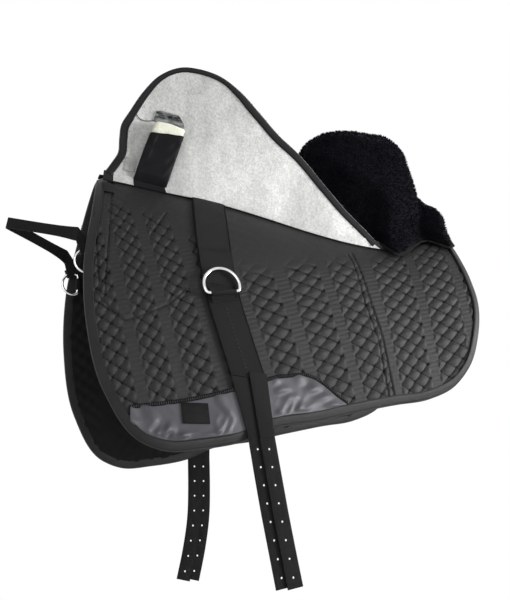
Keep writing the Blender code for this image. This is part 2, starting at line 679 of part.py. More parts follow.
def make_girth_rings():
    """Girth rings flipped up against the web, each in a keeper of folded tape."""
    inner = RING_WIRE + KEEPER_EASE
    middle = inner + KEEPER_TAPE / 2
    bar_lift = RING_WIRE + KEEPER_TAPE + KEEPER_EASE
    for label, side in SIDES:
        spot, out, down, along = web_frame(side)
        bar = spot + out * bar_lift
        up = (out * KEEPER_TAPE / RING_RADIUS - down).normalized()
        rings = ring_rings(bar + up * RING_CHORD_DROP, RING_RADIUS, RING_CHORD_DROP, RING_WIRE, along, up)
        add_sweep(f"{label}_d_ring", rings, "chrome", bar, closed=True)
        foot_lift = CLEARANCE + KEEPER_TAPE / 2
        path = [spot + out * foot_lift - down * (middle + KEEPER_FOOT),
                spot + out * foot_lift - down * (middle + KEEPER_TOE)]
        path += [bar + (out * math.sin(turn) - down * math.cos(turn)) * middle
                 for turn in (KEEPER_RISE + (math.pi - 2 * KEEPER_RISE) * k / KEEPER_STEPS
                              for k in range(KEEPER_STEPS + 1))]
        path += [spot + out * foot_lift + down * (middle + KEEPER_TOE),
                 spot + out * foot_lift + down * (middle + KEEPER_FOOT)]
        add_ribbon(f"{label}_ring_keeper", path, [along] * len(path), [KEEPER_WIDTH] * len(path),
                   KEEPER_TAPE, "webbing")


def front_ring_centre(side):
    return Vector((FRONT_RING_X, side * FRONT_RING_Y, FRONT_RING_Z))


def make_front_rings():
    """Small rings inside the flaps' front edges, with keepers sewn to the lining."""
    ahead, up = Vector((-1, 0, 0)), Vector((0, 0, 1))
    for label, side in SIDES:
        centre = front_ring_centre(side)
        rings = ring_rings(centre, FRONT_RING_RADIUS, FRONT_RING_CHORD, FRONT_RING_WIRE, up, ahead)
        bar = centre - ahead * FRONT_RING_CHORD
        add_sweep(f"{label}_front_ring", rings, "chrome", bar, closed=True)
        middle = FRONT_RING_WIRE + KEEPER_EASE + KEEPER_TAPE / 2
        inside = Vector((0, -side, 0))
        back = -ahead
        foot_lift = -FRONT_KEEPER_SEAT - KEEPER_TAPE / 2
        depth = depth_at_height(bar.x, bar.z, side)
        root_x = bar.x + middle + FRONT_KEEPER_FOOT / 2
        path = [on_pad(root_x + FRONT_KEEPER_FOOT, depth, side, foot_lift),
                on_pad(root_x, depth, side, foot_lift)]
        path += [bar + (inside * math.sin(turn) + back * math.cos(turn)) * middle
                 for turn in (FRONT_KEEPER_START + FRONT_KEEPER_WRAP * k / KEEPER_STEPS
                              for k in range(KEEPER_STEPS + 1))]
        acrosses = [on_pad(bar.x, depth - CREST_ROUND, side) - on_pad(bar.x, depth + CREST_ROUND, side)] * 2
        acrosses += [up] * (KEEPER_STEPS + 1)
        add_ribbon(f"{label}_front_keeper", path, acrosses, [FRONT_KEEPER_WIDTH] * len(path), KEEPER_TAPE,
                   "webbing")


def depth_at_height(x, height, side):
    """Distance down the flap at which its inner face is at a height."""
    low, high = 0.0, FLAP_DEPTH
    for _ in range(HEIGHT_SEARCH_STEPS):
        middle = (low + high) / 2
        if on_pad(x, middle, side).z > height:
            low = middle
        else:
            high = middle
    return low


def make_grab_strap():
    """Web strap held out ahead of the withers, looped round both front rings."""
    def half(side):
        centre = front_ring_centre(side)
        out = Vector((-math.cos(STRAP_RISE_ANGLE), 0, math.sin(STRAP_RISE_ANGLE)))
        along_wire = Vector((math.sin(STRAP_RISE_ANGLE), 0, math.cos(STRAP_RISE_ANGLE)))
        away = Vector((0, side, 0))
        wire = centre + out * FRONT_RING_RADIUS
        loop = [wire + away * STRAP_LOOP_RADIUS + out * STRAP_LOOP_TAIL]
        loop += [wire + (away * math.cos(turn) - out * math.sin(turn)) * STRAP_LOOP_RADIUS
                 for turn in (math.pi * k / STRAP_LOOP_STEPS for k in range(STRAP_LOOP_STEPS + 1))]
        centres = loop + [Vector((FRONT_RING_X + x, side * y, z)) for x, y, z in STRAP_ROUTE]
        narrow, wide = len(loop), len(STRAP_ROUTE)
        widths = [STRAP_LOOP_WIDTH] * narrow + [STRAP_FLARE_WIDTH] + [STRAP_WIDTH] * (wide - 1)
        upright = Vector((0, 0, 1))
        acrosses = [along_wire] * narrow + [(along_wire + upright).normalized()] + [upright] * (wide - 1)
        return centres, acrosses, widths

    near, far = half(NEAR), half(FAR)
    centres = near[0] + far[0][::-1]
    acrosses = near[1] + far[1][::-1]
    widths = near[2] + far[2][::-1]
    origin = Vector((FRONT_RING_X, 0, FRONT_RING_Z))
    add_ribbon("grab_strap", centres, acrosses, widths, STRAP_THICKNESS, "webbing", origin)


class Wing:
    """Place of one lambskin wing: a curled sheet standing on its hinge line."""

    def __init__(self, side):
        self.side = side
        self.front = on_pad(*HINGE_FRONT, side, HINGE_FRONT_LIFT)
        rear = on_pad(*HINGE_REAR, side, HINGE_REAR_LIFT)
        self.axis = (rear - self.front).normalized()
        outwards = Vector((0, side, 0))
        self.out = (outwards - self.axis * outwards.dot(self.axis)).normalized()
        self.up = self.axis.cross(self.out).normalized()
        self.up = self.up if self.up.z > 0 else -self.up
        if side == FAR:
            turn = Matrix.Rotation(WING_LOWER, 3, self.up.cross(self.out))
            self.out, self.up = turn @ self.out, turn @ self.up

    def place(self, point, lift):
        """World point at (along, out), lifted off the hide's flesh side towards the pocket."""
        along, reach = point
        radius = WING_REACH / WING_CURL
        angle = reach / radius - WING_LEAN
        out = radius * (math.cos(WING_LEAN) - math.cos(angle))
        up = radius * (math.sin(angle) + math.sin(WING_LEAN))
        spot = self.front + self.axis * along + self.out * out + self.up * up
        return spot + (self.out * math.cos(angle) - self.up * math.sin(angle)) * lift


def cut_at_root(outline, front_root, rear_root):
    """Outline cut off at a reach from the hinge at each end."""
    points = [np.asarray(point) for point in outline]
    for root in (front_root, rear_root):
        while points[1][1] < root:
            points = points[1:]
        share = (root - points[0][1]) / (points[1][1] - points[0][1])
        points[0] = points[0] + (points[1] - points[0]) * share
        points = points[::-1]
    return points


def root_bow(share):
    return ROOT_BOW * straight(ROOT_BOW_SHARES, share)[0]


def make_wing(label, side):
    """Hide with its fleece, binding, block pocket and loop tape."""
    wing = Wing(side)
    outline = inset_outline(WING_OUTLINE, CLEARANCE + TRIM)
    corners = (WING_FRONT_CORNER, WING_REAR_CORNER)
    patch = Patch(outline, corners, WING_ROW_SHARES, WING_COLUMNS, BINDING_BAND, bow=root_bow)
    patch.sheet(f"{label}_wing_hide", wing.place, -HIDE, 0.0, "suede", origin=wing.front)
    patch.binding(f"{label}_wing_binding", wing.place, -HIDE, 0.0, -HIDE, 0.0, "binding", wing.front)
    fleece_base = -HIDE - ON_CURL
    band = BINDING_BAND + PILE_BAND_GAP
    cut = cut_at_root(outline, PILE_ROOT, PILE_ROOT + band)
    inside = Patch(cut, (WING_FRONT_CORNER, len(cut) - 2), WING_ROW_SHARES, WING_COLUMNS, band)
    columns = inside.columns

    def pile(j, i):
        edge = j == inside.rows or i in (0, columns)
        reach = inside.points[j * (columns + 1) + i][1]
        grown = min(max((reach - PILE_ROOT) / (PILE_FULL - PILE_ROOT), 0.0), 1.0)
        return fleece_base - (ROOT_PILE if edge else ROOT_PILE + (PILE - ROOT_PILE) * grown)
    inside.field(f"{label}_wing_pile", wing.place, fleece_base, pile, "fleece", range(inside.rows + 1),
                 range(columns + 1), wing.front)
    add_on_wing(f"{label}_loop_tape", wing, LOOP_TAPE, ON_CURL, ON_CURL + TAPE_THICKNESS, "binding")
    make_pocket(label, wing)


def add_on_wing(name, wing, box, low, high, look, origin=None):
    """Flat piece on the hide over a box of (from, to) along and out."""
    left, right, bottom, top = box
    rows, columns = TAPE_ROWS, TAPE_COLUMNS
    spots = [(left + (right - left) * i / columns, bottom + (top - bottom) * j / rows)
             for j in range(rows + 1) for i in range(columns + 1)]
    origin = wing.front if origin is None else origin
    add_sheet(name, [wing.place(spot, low) for spot in spots], [wing.place(spot, high) for spot in spots],
              grid_quads(rows, columns), look, origin)


def block_depth(reach):
    """Thickness of the wedge-shaped block at a reach from the hinge."""
    share = (reach - POCKET_BOTTOM) / (POCKET_MOUTH - POCKET_BOTTOM)
    return BLOCK_FOOT_DEPTH + (BLOCK_DEPTH - BLOCK_FOOT_DEPTH) * min(max(share, 0.0), 1.0)


def make_pocket(label, wing):
    """Pocket open at its mouth, the foam block in it and the flap standing open behind."""
    half = POCKET_WIDTH / 2
    wall = POCKET_WALL
    back = ON_CURL
    rows = BLOCK_TRAVEL_ROWS
    left, right = POCKET_ALONG - half, POCKET_ALONG + half
    reaches = [POCKET_BOTTOM + (POCKET_MOUTH - POCKET_BOTTOM) * k / rows for k in range(rows + 1)]

    def section(reach):
        cover = BLOCK_BASE + BLOCK_EASE + block_depth(reach)
        return [wing.place(spot, lift) for spot, lift in (
            ((left, reach), back), ((left, reach), cover + wall), ((right, reach), cover + wall),
            ((right, reach), back), ((right - wall, reach), back), ((right - wall, reach), cover),
            ((left + wall, reach), cover), ((left + wall, reach), back))]

    rings = [section(reach) for reach in [reaches[0] + wall] + reaches[1:]]
    count = len(rings[0])
    points = [point for ring in rings for point in ring]
    faces = []
    for k in range(len(rings) - 1):
        base, after = k * count, (k + 1) * count
        faces += [(base + i, base + (i + 1) % count, after + (i + 1) % count, after + i)
                  for i in range(count)]
    last = (len(rings) - 1) * count
    faces += [(last, last + 1, last + 6, last + 7), (last + 1, last + 2, last + 5, last + 6),
              (last + 2, last + 3, last + 4, last + 5)]
    cover = BLOCK_BASE + BLOCK_EASE + block_depth(reaches[0])
    bottom = [wing.place(spot, lift) for spot, lift in (
        ((left, reaches[0]), back), ((left, reaches[0]), cover + wall), ((right, reaches[0]), cover + wall),
        ((right, reaches[0]), back))]
    floor = len(points)
    points += bottom
    faces += [(0, 1, floor + 1, floor), (1, 2, floor + 2, floor + 1), (2, 3, floor + 3, floor + 2),
              (floor, floor + 1, floor + 2, floor + 3), (0, 7, 4, 3, floor + 3, floor), (7, 6, 5, 4)]
    add_solid(f"{label}_block_pocket", points, faces, "pocket", wing.front)

    inset = wall + BLOCK_EASE
    foot = reaches[0] + wall + BLOCK_EASE
    head = POCKET_MOUTH + BLOCK_SHOWS
    rings = []
    radius = WING_REACH / WING_CURL
    centre = wing.place((POCKET_ALONG, WING_LEAN * radius), radius)
    for k in range(rows + 1):
        reach = foot + (head - foot) * k / rows
        low, high = BLOCK_BASE, BLOCK_BASE + block_depth(reach)
        rings.append([wing.place((left + inset, reach), low), wing.place((right - inset, reach), low),
                      wing.place((right - inset, reach), high), wing.place((left + inset, reach), high)])
    add_sweep(f"{label}_thigh_block", rings, "foam", centre)
    flap_foot = head + FLAP_THICKNESS + BLOCK_EASE
    flap_origin = wing.place((POCKET_ALONG, flap_foot), ON_CURL)
    add_on_wing(f"{label}_pocket_flap", wing, (left, right, flap_foot, flap_foot + FLAP_LENGTH),
                ON_CURL, ON_CURL + FLAP_THICKNESS, "pocket", flap_origin)


def seat_half(x):
    """Half width of the seat strip: up to the hinge lines, then out into its rear lobes."""
    share = (x - HINGE_FRONT[0]) / SEAT_LENGTH
    if share > SEAT_LOBE_SHARES[0][0]:
        return SEAT_HALF_WIDTH * straight(SEAT_LOBE_SHARES, share)[0]
    along = (x - HINGE_FRONT[0]) / (HINGE_REAR[0] - HINGE_FRONT[0])
    return HINGE_FRONT[1] + (HINGE_REAR[1] - HINGE_FRONT[1]) * along - SEAT_HINGE_GAP


def seat_stations():
    """The seat's own rows, and the rows that it shares with the pad below."""
    own = [HINGE_FRONT[0] + SEAT_LENGTH * share for share in SEAT_STATION_SHARES]
    shared = [x for x in crest_stations()
              if own[0] < x < own[-1] and min(abs(x - at) for at in own) > STATION_GAP]
    return sorted(own + shared)


def cantle(x):
    """Height of the cantle, and its half widths at the foot and the shoulder."""
    share = (x - HINGE_FRONT[0]) / SEAT_LENGTH
    height, foot, shoulder = straight(CANTLE_SHARES, share)
    height = height * CANTLE_HEIGHT if share > CANTLE_SHARES[0][0] else 0.0
    return height, foot * CANTLE_HALF_WIDTH, shoulder * CANTLE_HALF_WIDTH


def seat_lines(x):
    """Signed distances from the spine at which the seat's sheets share their points."""
    height, half, _ = cantle(x)
    lobe_start = HINGE_FRONT[0] + SEAT_LENGTH * SEAT_LOBE_SHARES[0][0]
    margin = PILE_SIDE_MARGIN if x < lobe_start + STATION_GAP else PILE_REAR_MARGIN
    edge = seat_half(x) - min(margin, seat_half(x) / 2)
    half = min(half, edge - FOOT_MARGIN) if height else edge / 2
    crest = [min(half * CREST_LINE_SHARES[0], CREST_ROUND / 2), min(half * CREST_LINE_SHARES[1], CREST_ROUND)]
    lines = crest + [half * CROWN_SHARE, half * NECK_SHARE, half, edge]
    return [-line for line in reversed(lines)] + [0.0] + lines


def wing_height(x):
    """Reach of the lifted wing's outer edge above its hinge at a place along the pad."""
    rear = WING_OUTLINE[WING_FRONT_CORNER:]
    return float(np.interp(x - HINGE_FRONT[0], [p[0] for p in rear], [p[1] for p in rear]))


def fleece_section(x, bases, at_end):
    """Top of the seat's fleece across one row. The cantle's section is narrow until it is
    clear of the lifted wings, then runs out to its shoulder and over the rounded top."""
    height, _, shoulder = cantle(x)
    last = len(bases) - 1
    if not height:
        return [base + Vector((0, 0, ROOT_PILE if at_end or n in (0, last) else SEAT_PILE))
                for n, base in enumerate(bases)]
    half, floor, top = bases[-2].y, bases[-2].z, bases[last // 2].z + SEAT_PILE + height
    shoulder = max(shoulder, half)
    neck = min(floor + wing_height(x) + NECK_CLEARANCE, floor + SEAT_PILE + height * NECK_HEIGHT_SHARE)
    widest = neck + (top - neck) * SHOULDER_HEIGHT_SHARE
    side = [(bases[-1].y, bases[-1].z + ROOT_PILE), (half, floor + SEAT_PILE), (half, neck)]
    side.append((shoulder, widest))
    side += [(shoulder * out, widest + (top - widest) * up) for out, up in CROWN_SHARES]
    return ([Vector((x, -y, z)) for y, z in side] + [Vector((x, 0, top))]
            + [Vector((x, y, z)) for y, z in reversed(side)])


def make_seat():
    """Hide strip between the hinge lines, its fleece, and the foam in the cantle."""
    stations = seat_stations()
    spots = [(x, offset) for x in stations for offset in [-seat_half(x)] + seat_lines(x) + [seat_half(x)]]
    columns = len(seat_lines(stations[0])) + 1
    add_sheet("seat_hide", [across_pad(x, offset, SEAT_BASE) for x, offset in spots],
              [across_pad(x, offset, SEAT_TOP) for x, offset in spots],
              grid_quads(len(stations) - 1, columns), "suede")

    front = HINGE_FRONT[0] + SEAT_LENGTH * PILE_FRONT_SHARE
    rows = [x for x in stations[:-1] if x > front] + [stations[-1] - PILE_REAR_MARGIN]
    cantle_rows = [k for k, x in enumerate(rows) if cantle(x)[0] > FOAM_LEAST]
    low, high, foam_low, foam_high = [], [], [], []
    columns = len(seat_lines(stations[0])) - 1
    inner = range(2, columns - 1)
    for k, x in enumerate(rows):
        bases = [across_pad(x, offset, PILE_BASE) for offset in seat_lines(x)]
        at_end = k in (0, len(rows) - 1)
        outer = fleece_section(x, bases, at_end)
        for n, base in enumerate(bases):
            high.append(outer[n])
            if k not in cantle_rows or n not in inner:
                low.append(base)
                continue
            chord = outer[n + 1] - outer[n - 1]
            inwards = Vector((0, chord.z, -chord.y)).normalized()
            low.append(outer[n] + inwards * (FOAM_INSET - FOAM_GAP))
            foam_low.append(base)
            foam_high.append(outer[n] + inwards * FOAM_INSET)
    add_sheet("seat_pile", low, high, grid_quads(len(rows) - 1, columns), "fleece")
    add_sheet("cantle_foam", foam_low, foam_high, grid_quads(len(cantle_rows) - 1, len(inner) - 1), "foam")


def make_trim(patch):
    """Wear patches under the girth, the blank label and the hook tapes."""
    lower = patch.inner[patch.rows - 2:patch.rows + patch.columns + 1]
    low_edge = sorted((point[0], point[1]) for point in lower)
    edge_x, edge_down = [p[0] for p in low_edge], [p[1] for p in low_edge]
    for label, side in SIDES:
        spots = []
        for row in range(PATCH_ROWS + 1):
            for x, top in PATCH_TOP:
                bottom = float(np.interp(x, edge_x, edge_down)) - PATCH_MARGIN
                spots.append((x, top + (max(bottom, top + PATCH_MARGIN) - top) * row / PATCH_ROWS))
        add_sheet(f"{label}_wear_patch", [on_pad(x, down, side, TRIM_BASE) for x, down in spots],
                  [on_pad(x, down, side, TRIM_TOP) for x, down in spots],
                  grid_quads(PATCH_ROWS, len(PATCH_TOP) - 1), "satin")
        left, right, top, bottom = HOOK_TAPE
        spots = [(x - FRONT_REACH, down) for down in (top, (top + bottom) / 2, bottom) for x in (left, right)]
        add_sheet(f"{label}_hook_tape", [on_pad(x, down, side, TRIM_BASE) for x, down in spots],
                  [on_pad(x, down, side, TRIM_BASE + TAPE_THICKNESS) for x, down in spots],
                  grid_quads(2, 1), "binding")
    width, height = LABEL_SIZE
    spots = []
    for down in (-0.5, 0.5):
        for along in (-0.5, 0.5):
            x = LABEL_CENTRE[0] + width * along * math.cos(LABEL_TURN) - height * down * math.sin(LABEL_TURN)
            spots.append((x, LABEL_CENTRE[1] + height * down * math.cos(LABEL_TURN)
                          + width * along * math.sin(LABEL_TURN)))
    add_sheet("blank_label", [on_pad(x, down, NEAR, WEB_BASE) for x, down in spots],
              [on_pad(x, down, NEAR, WEB_BASE + LABEL_THICKNESS) for x, down in spots],
              [(0, 1, 3, 2)], "label")


def main():
    for old in list(bpy.data.objects):
        bpy.data.objects.remove(old)
    material("quilt", (0.030, 0.030, 0.031), 0.55)
    material("lining", (0.010, 0.010, 0.011), 0.80)
    material("wadding", (0.60, 0.60, 0.58), 0.90)
    material("binding", (0.024, 0.024, 0.025), 0.60)
    material("webbing", (0.026, 0.026, 0.027), 0.60)
    material("fleece", (0.004, 0.003, 0.006), 0.95)
    material("suede", (0.52, 0.52, 0.51), 0.90)
    material("pocket", (0.013, 0.013, 0.014), 0.65)
    material("foam", (0.79, 0.80, 0.67), 0.90)
    material("satin", (0.16, 0.16, 0.18), 0.35)
    material("label", (0.010, 0.010, 0.011), 0.60)
    material("chrome", (0.75, 0.75, 0.76), 0.15, 1.0)
    patch = pad_patch()
    make_pad(patch)
    make_web(patch)
    make_billets(patch)
    make_girth_rings()
    make_front_rings()
    make_grab_strap()
    for label, side in SIDES:
        make_wing(label, side)
    make_seat()
    make_trim(patch)


main()
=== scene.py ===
"""Bareback pad, dressed over its solids: quilted flaps, woven webs, lambskin and foam.

Metres, in the frame of the solids: +X to the tail, +Y to the far side, +Z up, and the
origin on the underside of the spine at the girth web.
"""
import math

import bmesh
import bpy
import numpy as np
from mathutils import Matrix, Vector


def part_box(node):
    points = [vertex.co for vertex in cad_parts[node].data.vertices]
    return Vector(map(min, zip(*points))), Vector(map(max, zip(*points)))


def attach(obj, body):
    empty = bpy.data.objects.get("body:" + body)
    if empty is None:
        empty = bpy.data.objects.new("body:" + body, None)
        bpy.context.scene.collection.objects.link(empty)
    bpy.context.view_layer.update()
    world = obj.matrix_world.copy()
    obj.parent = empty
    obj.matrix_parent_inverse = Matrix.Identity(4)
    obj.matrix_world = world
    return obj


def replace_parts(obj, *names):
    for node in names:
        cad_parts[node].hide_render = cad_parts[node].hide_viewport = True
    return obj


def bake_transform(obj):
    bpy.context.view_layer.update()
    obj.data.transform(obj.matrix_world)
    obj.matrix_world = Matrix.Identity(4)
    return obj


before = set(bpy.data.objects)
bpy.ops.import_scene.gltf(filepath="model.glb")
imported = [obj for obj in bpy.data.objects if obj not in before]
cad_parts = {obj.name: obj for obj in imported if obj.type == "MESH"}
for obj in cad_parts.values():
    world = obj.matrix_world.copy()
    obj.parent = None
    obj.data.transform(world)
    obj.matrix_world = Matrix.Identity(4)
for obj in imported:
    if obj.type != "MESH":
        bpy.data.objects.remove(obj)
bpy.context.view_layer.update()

NEAR, FAR = -1, 1
SIDES = (("near", NEAR), ("far", FAR))
CLEARANCE = 0.0003

# The pad's surface, with the same values as its solids
PAD_LENGTH, FRONT_REACH, FLAP_DEPTH, SPINE_DIP = 0.720, 0.232, 0.510, 0.044
SPINE_SHARES = ((-0.05, 0.43), (0.129, 0.23), (0.218, 0.12), (0.322, 0.0), (0.457, -0.33), (0.582, -0.70),
                (0.697, -0.95), (0.794, -1.0), (0.878, -0.82), (0.961, -0.45), (1.05, -0.09))
FRONT_SLOPE, REAR_SLOPE, LOW_SLOPE = math.radians(38), math.radians(20), math.radians(79)
SLOPE_RUN, CREST_ROUND, SURFACE_STEPS = 0.090, 0.020, 40
OUTLINE_SHARES = ((0.044, 0.0), (0.025, 0.186), (0.004, 0.422), (0.011, 0.622), (0.050, 0.837),
                  (0.125, 0.978), (0.178, 1.0), (0.251, 0.986), (0.340, 0.953), (0.418, 0.890),
                  (0.524, 0.837), (0.607, 0.788), (0.739, 0.729), (0.819, 0.710), (0.892, 0.678),
                  (0.940, 0.625), (0.979, 0.523), (1.0, 0.408), (0.999, 0.298), (0.993, 0.199), (0.990, 0.0))
PAD_CORNERS = (5, 15)
CLOTH_TOP, RIM_TOP, CLOTH = 0.0106, 0.0061, 0.0012
TRIM_BASE, WEB_BASE, WEB_TOP = 0.0109, 0.0124, 0.0144
EDGE_BAND, TAPE_SEAM = 0.014, 0.0118

# Rows of stitches: pitch, length and width of a thread
TAPE_STITCH, SEAM_STITCH, CROSS_STITCH = (0.0036, 0.0027, 0.0008), (0.0040, 0.0036, 0.0009), (0.0034, 0.0026, 0.0009)
# The web's edge rows run unbroken and wide: edge sewing, and painted shade along the web's edges
WEB_STITCH, WEB_EDGE_STITCH_AND_SHADE = (0.0068, 0.0030, 0.0012), (0.0040, 0.0044, 0.0018)
ZIGZAG, ZIGZAG_SLANT, LABEL_STITCH = (0.0036, 0.0060, 0.0011), math.radians(80), (0.0026, 0.0018, 0.0006)

# Quilting: diamond bands by their centres along the pad, with how far each leans, and ladders between
BAND_CENTRES = (-0.256, -0.194, -0.131, -0.0685, 0.010, 0.089, 0.1755, 0.256, 0.333, 0.414, 0.492)
BAND_LEANS = (0.18, 0.18, 0.19, 0.21, 0.24, 0.25, 0.16, 0.13, 0.0, -0.03, -0.04)
BAND_LEVEL = 0.300
BAND_HALVES = (0.325, 0.325, 0.325, 0.325, 0.33, 0.34, 0.355, 0.37, 0.38, 0.38, 0.38)
BAND_DIAMONDS = (1.6, 1.6, 1.65, 1.65, 1.52, 1.52, 1.58, 1.82, 2.05, 1.87, 1.87)
# How far down the flap the quilting starts to show, along the pad
QUILT_STARTS = ((-0.25, 0.08), (-0.11, 0.10), (-0.03, 0.145), (0.05, 0.185), (0.14, 0.145), (0.24, 0.105),
                (0.33, 0.075), (0.42, 0.035), (0.50, 0.0))
DIAMOND_LENGTH, LADDER_PITCH = 0.0258, 0.0085
ROW_TILTS = ((-0.30, 0.33), (-0.13, 0.37), (-0.05, 0.38), (0.06, 0.46), (0.16, 0.50), (0.25, 0.38), (0.33, 0.22),
             (0.42, 0.0), (0.52, -0.05))
DIAMOND_PUFF, LADDER_PUFF, FLAT_QUILT = 0.0034, 0.0006, 0.10
SEAMS = (((-0.213, 0.084), (-0.210, 0.168), (-0.204, 0.262)),
         ((-0.176, 0.020), (-0.186, 0.123), (-0.194, 0.222), (-0.196, 0.262)),
         ((-0.212, 0.262), (-0.198, 0.277), (-0.184, 0.293), (-0.165, 0.306), (-0.135, 0.292), (-0.094, 0.268),
          (-0.065, 0.236)),
         ((-0.088, 0.083), (-0.117, 0.136)),
         ((0.262, 0.075), (0.2655, 0.099), (0.2723, 0.182), (0.283, 0.250), (0.2885, 0.362)),
         ((0.252, 0.080), (0.2556, 0.092), (0.2604, 0.185), (0.274, 0.260), (0.2775, 0.362)))


def smooth(t):
    t = np.clip(t, 0.0, 1.0)
    return t * t * (3 - 2 * t)


def curve(table, at):
    """Smooth curve through rows of (at, value, ...), at an array of places."""
    rows = np.asarray(table, float)
    keys, values = rows[:, 0], rows[:, 1:]
    slopes = np.gradient(values, keys, axis=0)
    at = np.clip(np.asarray(at, float), keys[0], keys[-1])
    low = np.clip(np.searchsorted(keys, at) - 1, 0, len(keys) - 2)
    span = (keys[low + 1] - keys[low])[..., None]
    t = ((at - keys[low]) / span[..., 0])[..., None]
    return ((2 * t**3 - 3 * t**2 + 1) * values[low] + (t**3 - 2 * t**2 + t) * span * slopes[low]
            + (3 * t**2 - 2 * t**3) * values[low + 1] + (t**3 - t**2) * span * slopes[low + 1])


def arc_table(points):
    points = np.asarray(points, float)
    keys = np.concatenate([[0.0], np.cumsum(np.linalg.norm(np.diff(points, axis=0), axis=1))])
    return np.column_stack([keys, points]), keys


def spine(x):
    return SPINE_DIP * curve(SPINE_SHARES, (np.asarray(x) + FRONT_REACH) / PAD_LENGTH)[..., 0]


def fall(x, down):
    top = FRONT_SLOPE + (REAR_SLOPE - FRONT_SLOPE) * np.clip((x + FRONT_REACH) / PAD_LENGTH, 0.0, 1.0)
    roll = np.minimum(down / CREST_ROUND, 1.0)
    return (LOW_SLOPE - (LOW_SLOPE - top) * np.exp(-down / SLOPE_RUN)) * roll * roll * (3 - 2 * roll)


def on_pad(x, down, side, lift=0.0):
    """World points at distances down the flap, lifted off the lining's inner face."""
    x, down, lift = (np.array(a, float) for a in np.broadcast_arrays(x, down, lift))
    out, drop, step = np.full(x.shape, CLEARANCE / 2), np.zeros(x.shape), down / SURFACE_STEPS
    for index in range(SURFACE_STEPS):
        angle = fall(x, (index + 0.5) * step)
        out += np.cos(angle) * step
        drop += np.sin(angle) * step
    angle = fall(x, down)
    return np.stack([x, side * (out + np.sin(angle) * lift), spine(x) - drop + np.cos(angle) * lift], -1)


def across_pad(x, offset, lift):
    """World points at signed distances from the spine, negative on the near side."""
    x, offset = np.broadcast_arrays(np.asarray(x, float), np.asarray(offset, float))
    points = on_pad(x, np.abs(offset), 1.0, lift)
    points[..., 1] = np.where(offset == 0, 0.0, points[..., 1] * np.sign(offset))
    return points


# Mesh building

def signed_volume(points, faces):
    """Six times the volume inside closed faces, positive where they are turned outwards."""
    groups = [faces] if isinstance(faces, np.ndarray) else [
        np.array([face for face in faces if len(face) == width]) for width in sorted({len(face) for face in faces})]
    total = 0.0
    for chosen in groups:
        for k in range(1, chosen.shape[1] - 1):
            a, b, c = points[chosen[:, 0]], points[chosen[:, k]], points[chosen[:, k + 1]]
            total += np.einsum("ij,ij->i", a, np.cross(b, c)).sum()
    return total


def linked(name, data):
    """A new object in the scene."""
    made = bpy.data.objects.new(name, data)
    bpy.context.scene.collection.objects.link(made)
    return made


def add_piece(name, points, faces, look, body, smooth_angle=50):
    """One mesh piece from points and faces, turned outwards, riding on a body."""
    points = np.asarray(points, float).reshape(-1, 3)
    if signed_volume(points, faces) < 0:
        faces = faces[:, ::-1] if isinstance(faces, np.ndarray) else [face[::-1] for face in faces]
    mesh = bpy.data.meshes.new(name)
    mesh.from_pydata(points.tolist(), [], faces.tolist() if isinstance(faces, np.ndarray) else faces)
    mesh.shade_smooth()
    if smooth_angle:
        mesh.set_sharp_from_angle(angle=math.radians(smooth_angle))
    return finish_piece(linked(name, mesh), look, body)


def finish_piece(made, look, body):
    made.data.materials.clear()
    made.data.materials.append(LOOKS[look])
    if body:
        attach(made, body)
    return made


def paint(made, looks, faces):
    """Give some faces other looks: for each of the first faces 0 or the number of its look."""
    for look in looks:
        made.data.materials.append(LOOKS[look])
    index = np.zeros(len(made.data.polygons), np.int32)
    index[:len(faces)] = faces
    made.data.polygons.foreach_set("material_index", index)


def grid_area(points):
    """Area of a grid of points."""
    across, along = points[1:, 1:] - points[:-1, :-1], points[1:, :-1] - points[:-1, 1:]
    return float(np.linalg.norm(np.cross(across, along), axis=-1).sum() / 2)


def cut_sheet(cells, surface):
    """Works out what size a sheet was cut to, from its flat places and its true area, and returns nothing."""
    flat = np.dstack([cells, np.zeros(cells.shape[:2])])
    area = grid_area(surface)
    grow = math.sqrt(area / grid_area(flat))


def grid_faces(rows, columns, start=0, turn=False):
    """Four-sided faces of a grid of points, from a first point on."""
    width = columns + 1
    j, i = np.meshgrid(np.arange(rows), np.arange(columns), indexing="ij")
    a = (start + j * width + i).ravel()
    quads = np.column_stack([a, a + 1, a + width + 1, a + width])
    return quads[:, ::-1] if turn else quads


def grid_rim(rows, columns):
    """A grid's border points in order, from its first corner round."""
    width = columns + 1
    rim = ([(0, i) for i in range(columns)] + [(j, columns) for j in range(rows)]
           + [(rows, i) for i in range(columns, 0, -1)] + [(j, 0) for j in range(rows, 0, -1)])
    return np.array([j * width + i for j, i in rim])


def shell(name, low, high, look, body, skip=1):
    """Closed sheet between two matching grids of points; its inner face may keep only some of them.

    Its faces are those of the high grid, then the low one's, then the walls.
    """
    inner = low[::skip, ::skip]
    (rows, columns), (few_rows, few_columns) = (tuple(n - 1 for n in grid.shape[:2]) for grid in (high, inner))
    count = high.shape[0] * high.shape[1]
    rim, few = grid_rim(rows, columns), grid_rim(few_rows, few_columns) + count
    faces = grid_faces(rows, columns).tolist() + grid_faces(few_rows, few_columns, count, True).tolist()
    for k in range(len(few)):
        outer = [int(rim[(k * skip + i) % len(rim)]) for i in range(skip, -1, -1)]
        faces.append(outer + [int(few[k]), int(few[(k + 1) % len(few)])])
    return add_piece(name, np.concatenate([high.reshape(-1, 3), inner.reshape(-1, 3)]), faces, look, body)


def pad_shell(name, x, down, side, low, high, look):
    """Closed sheet over the pad between two lifts."""
    return shell(name, on_pad(x, down, side, low), on_pad(x, down, side, high), look, "pad")


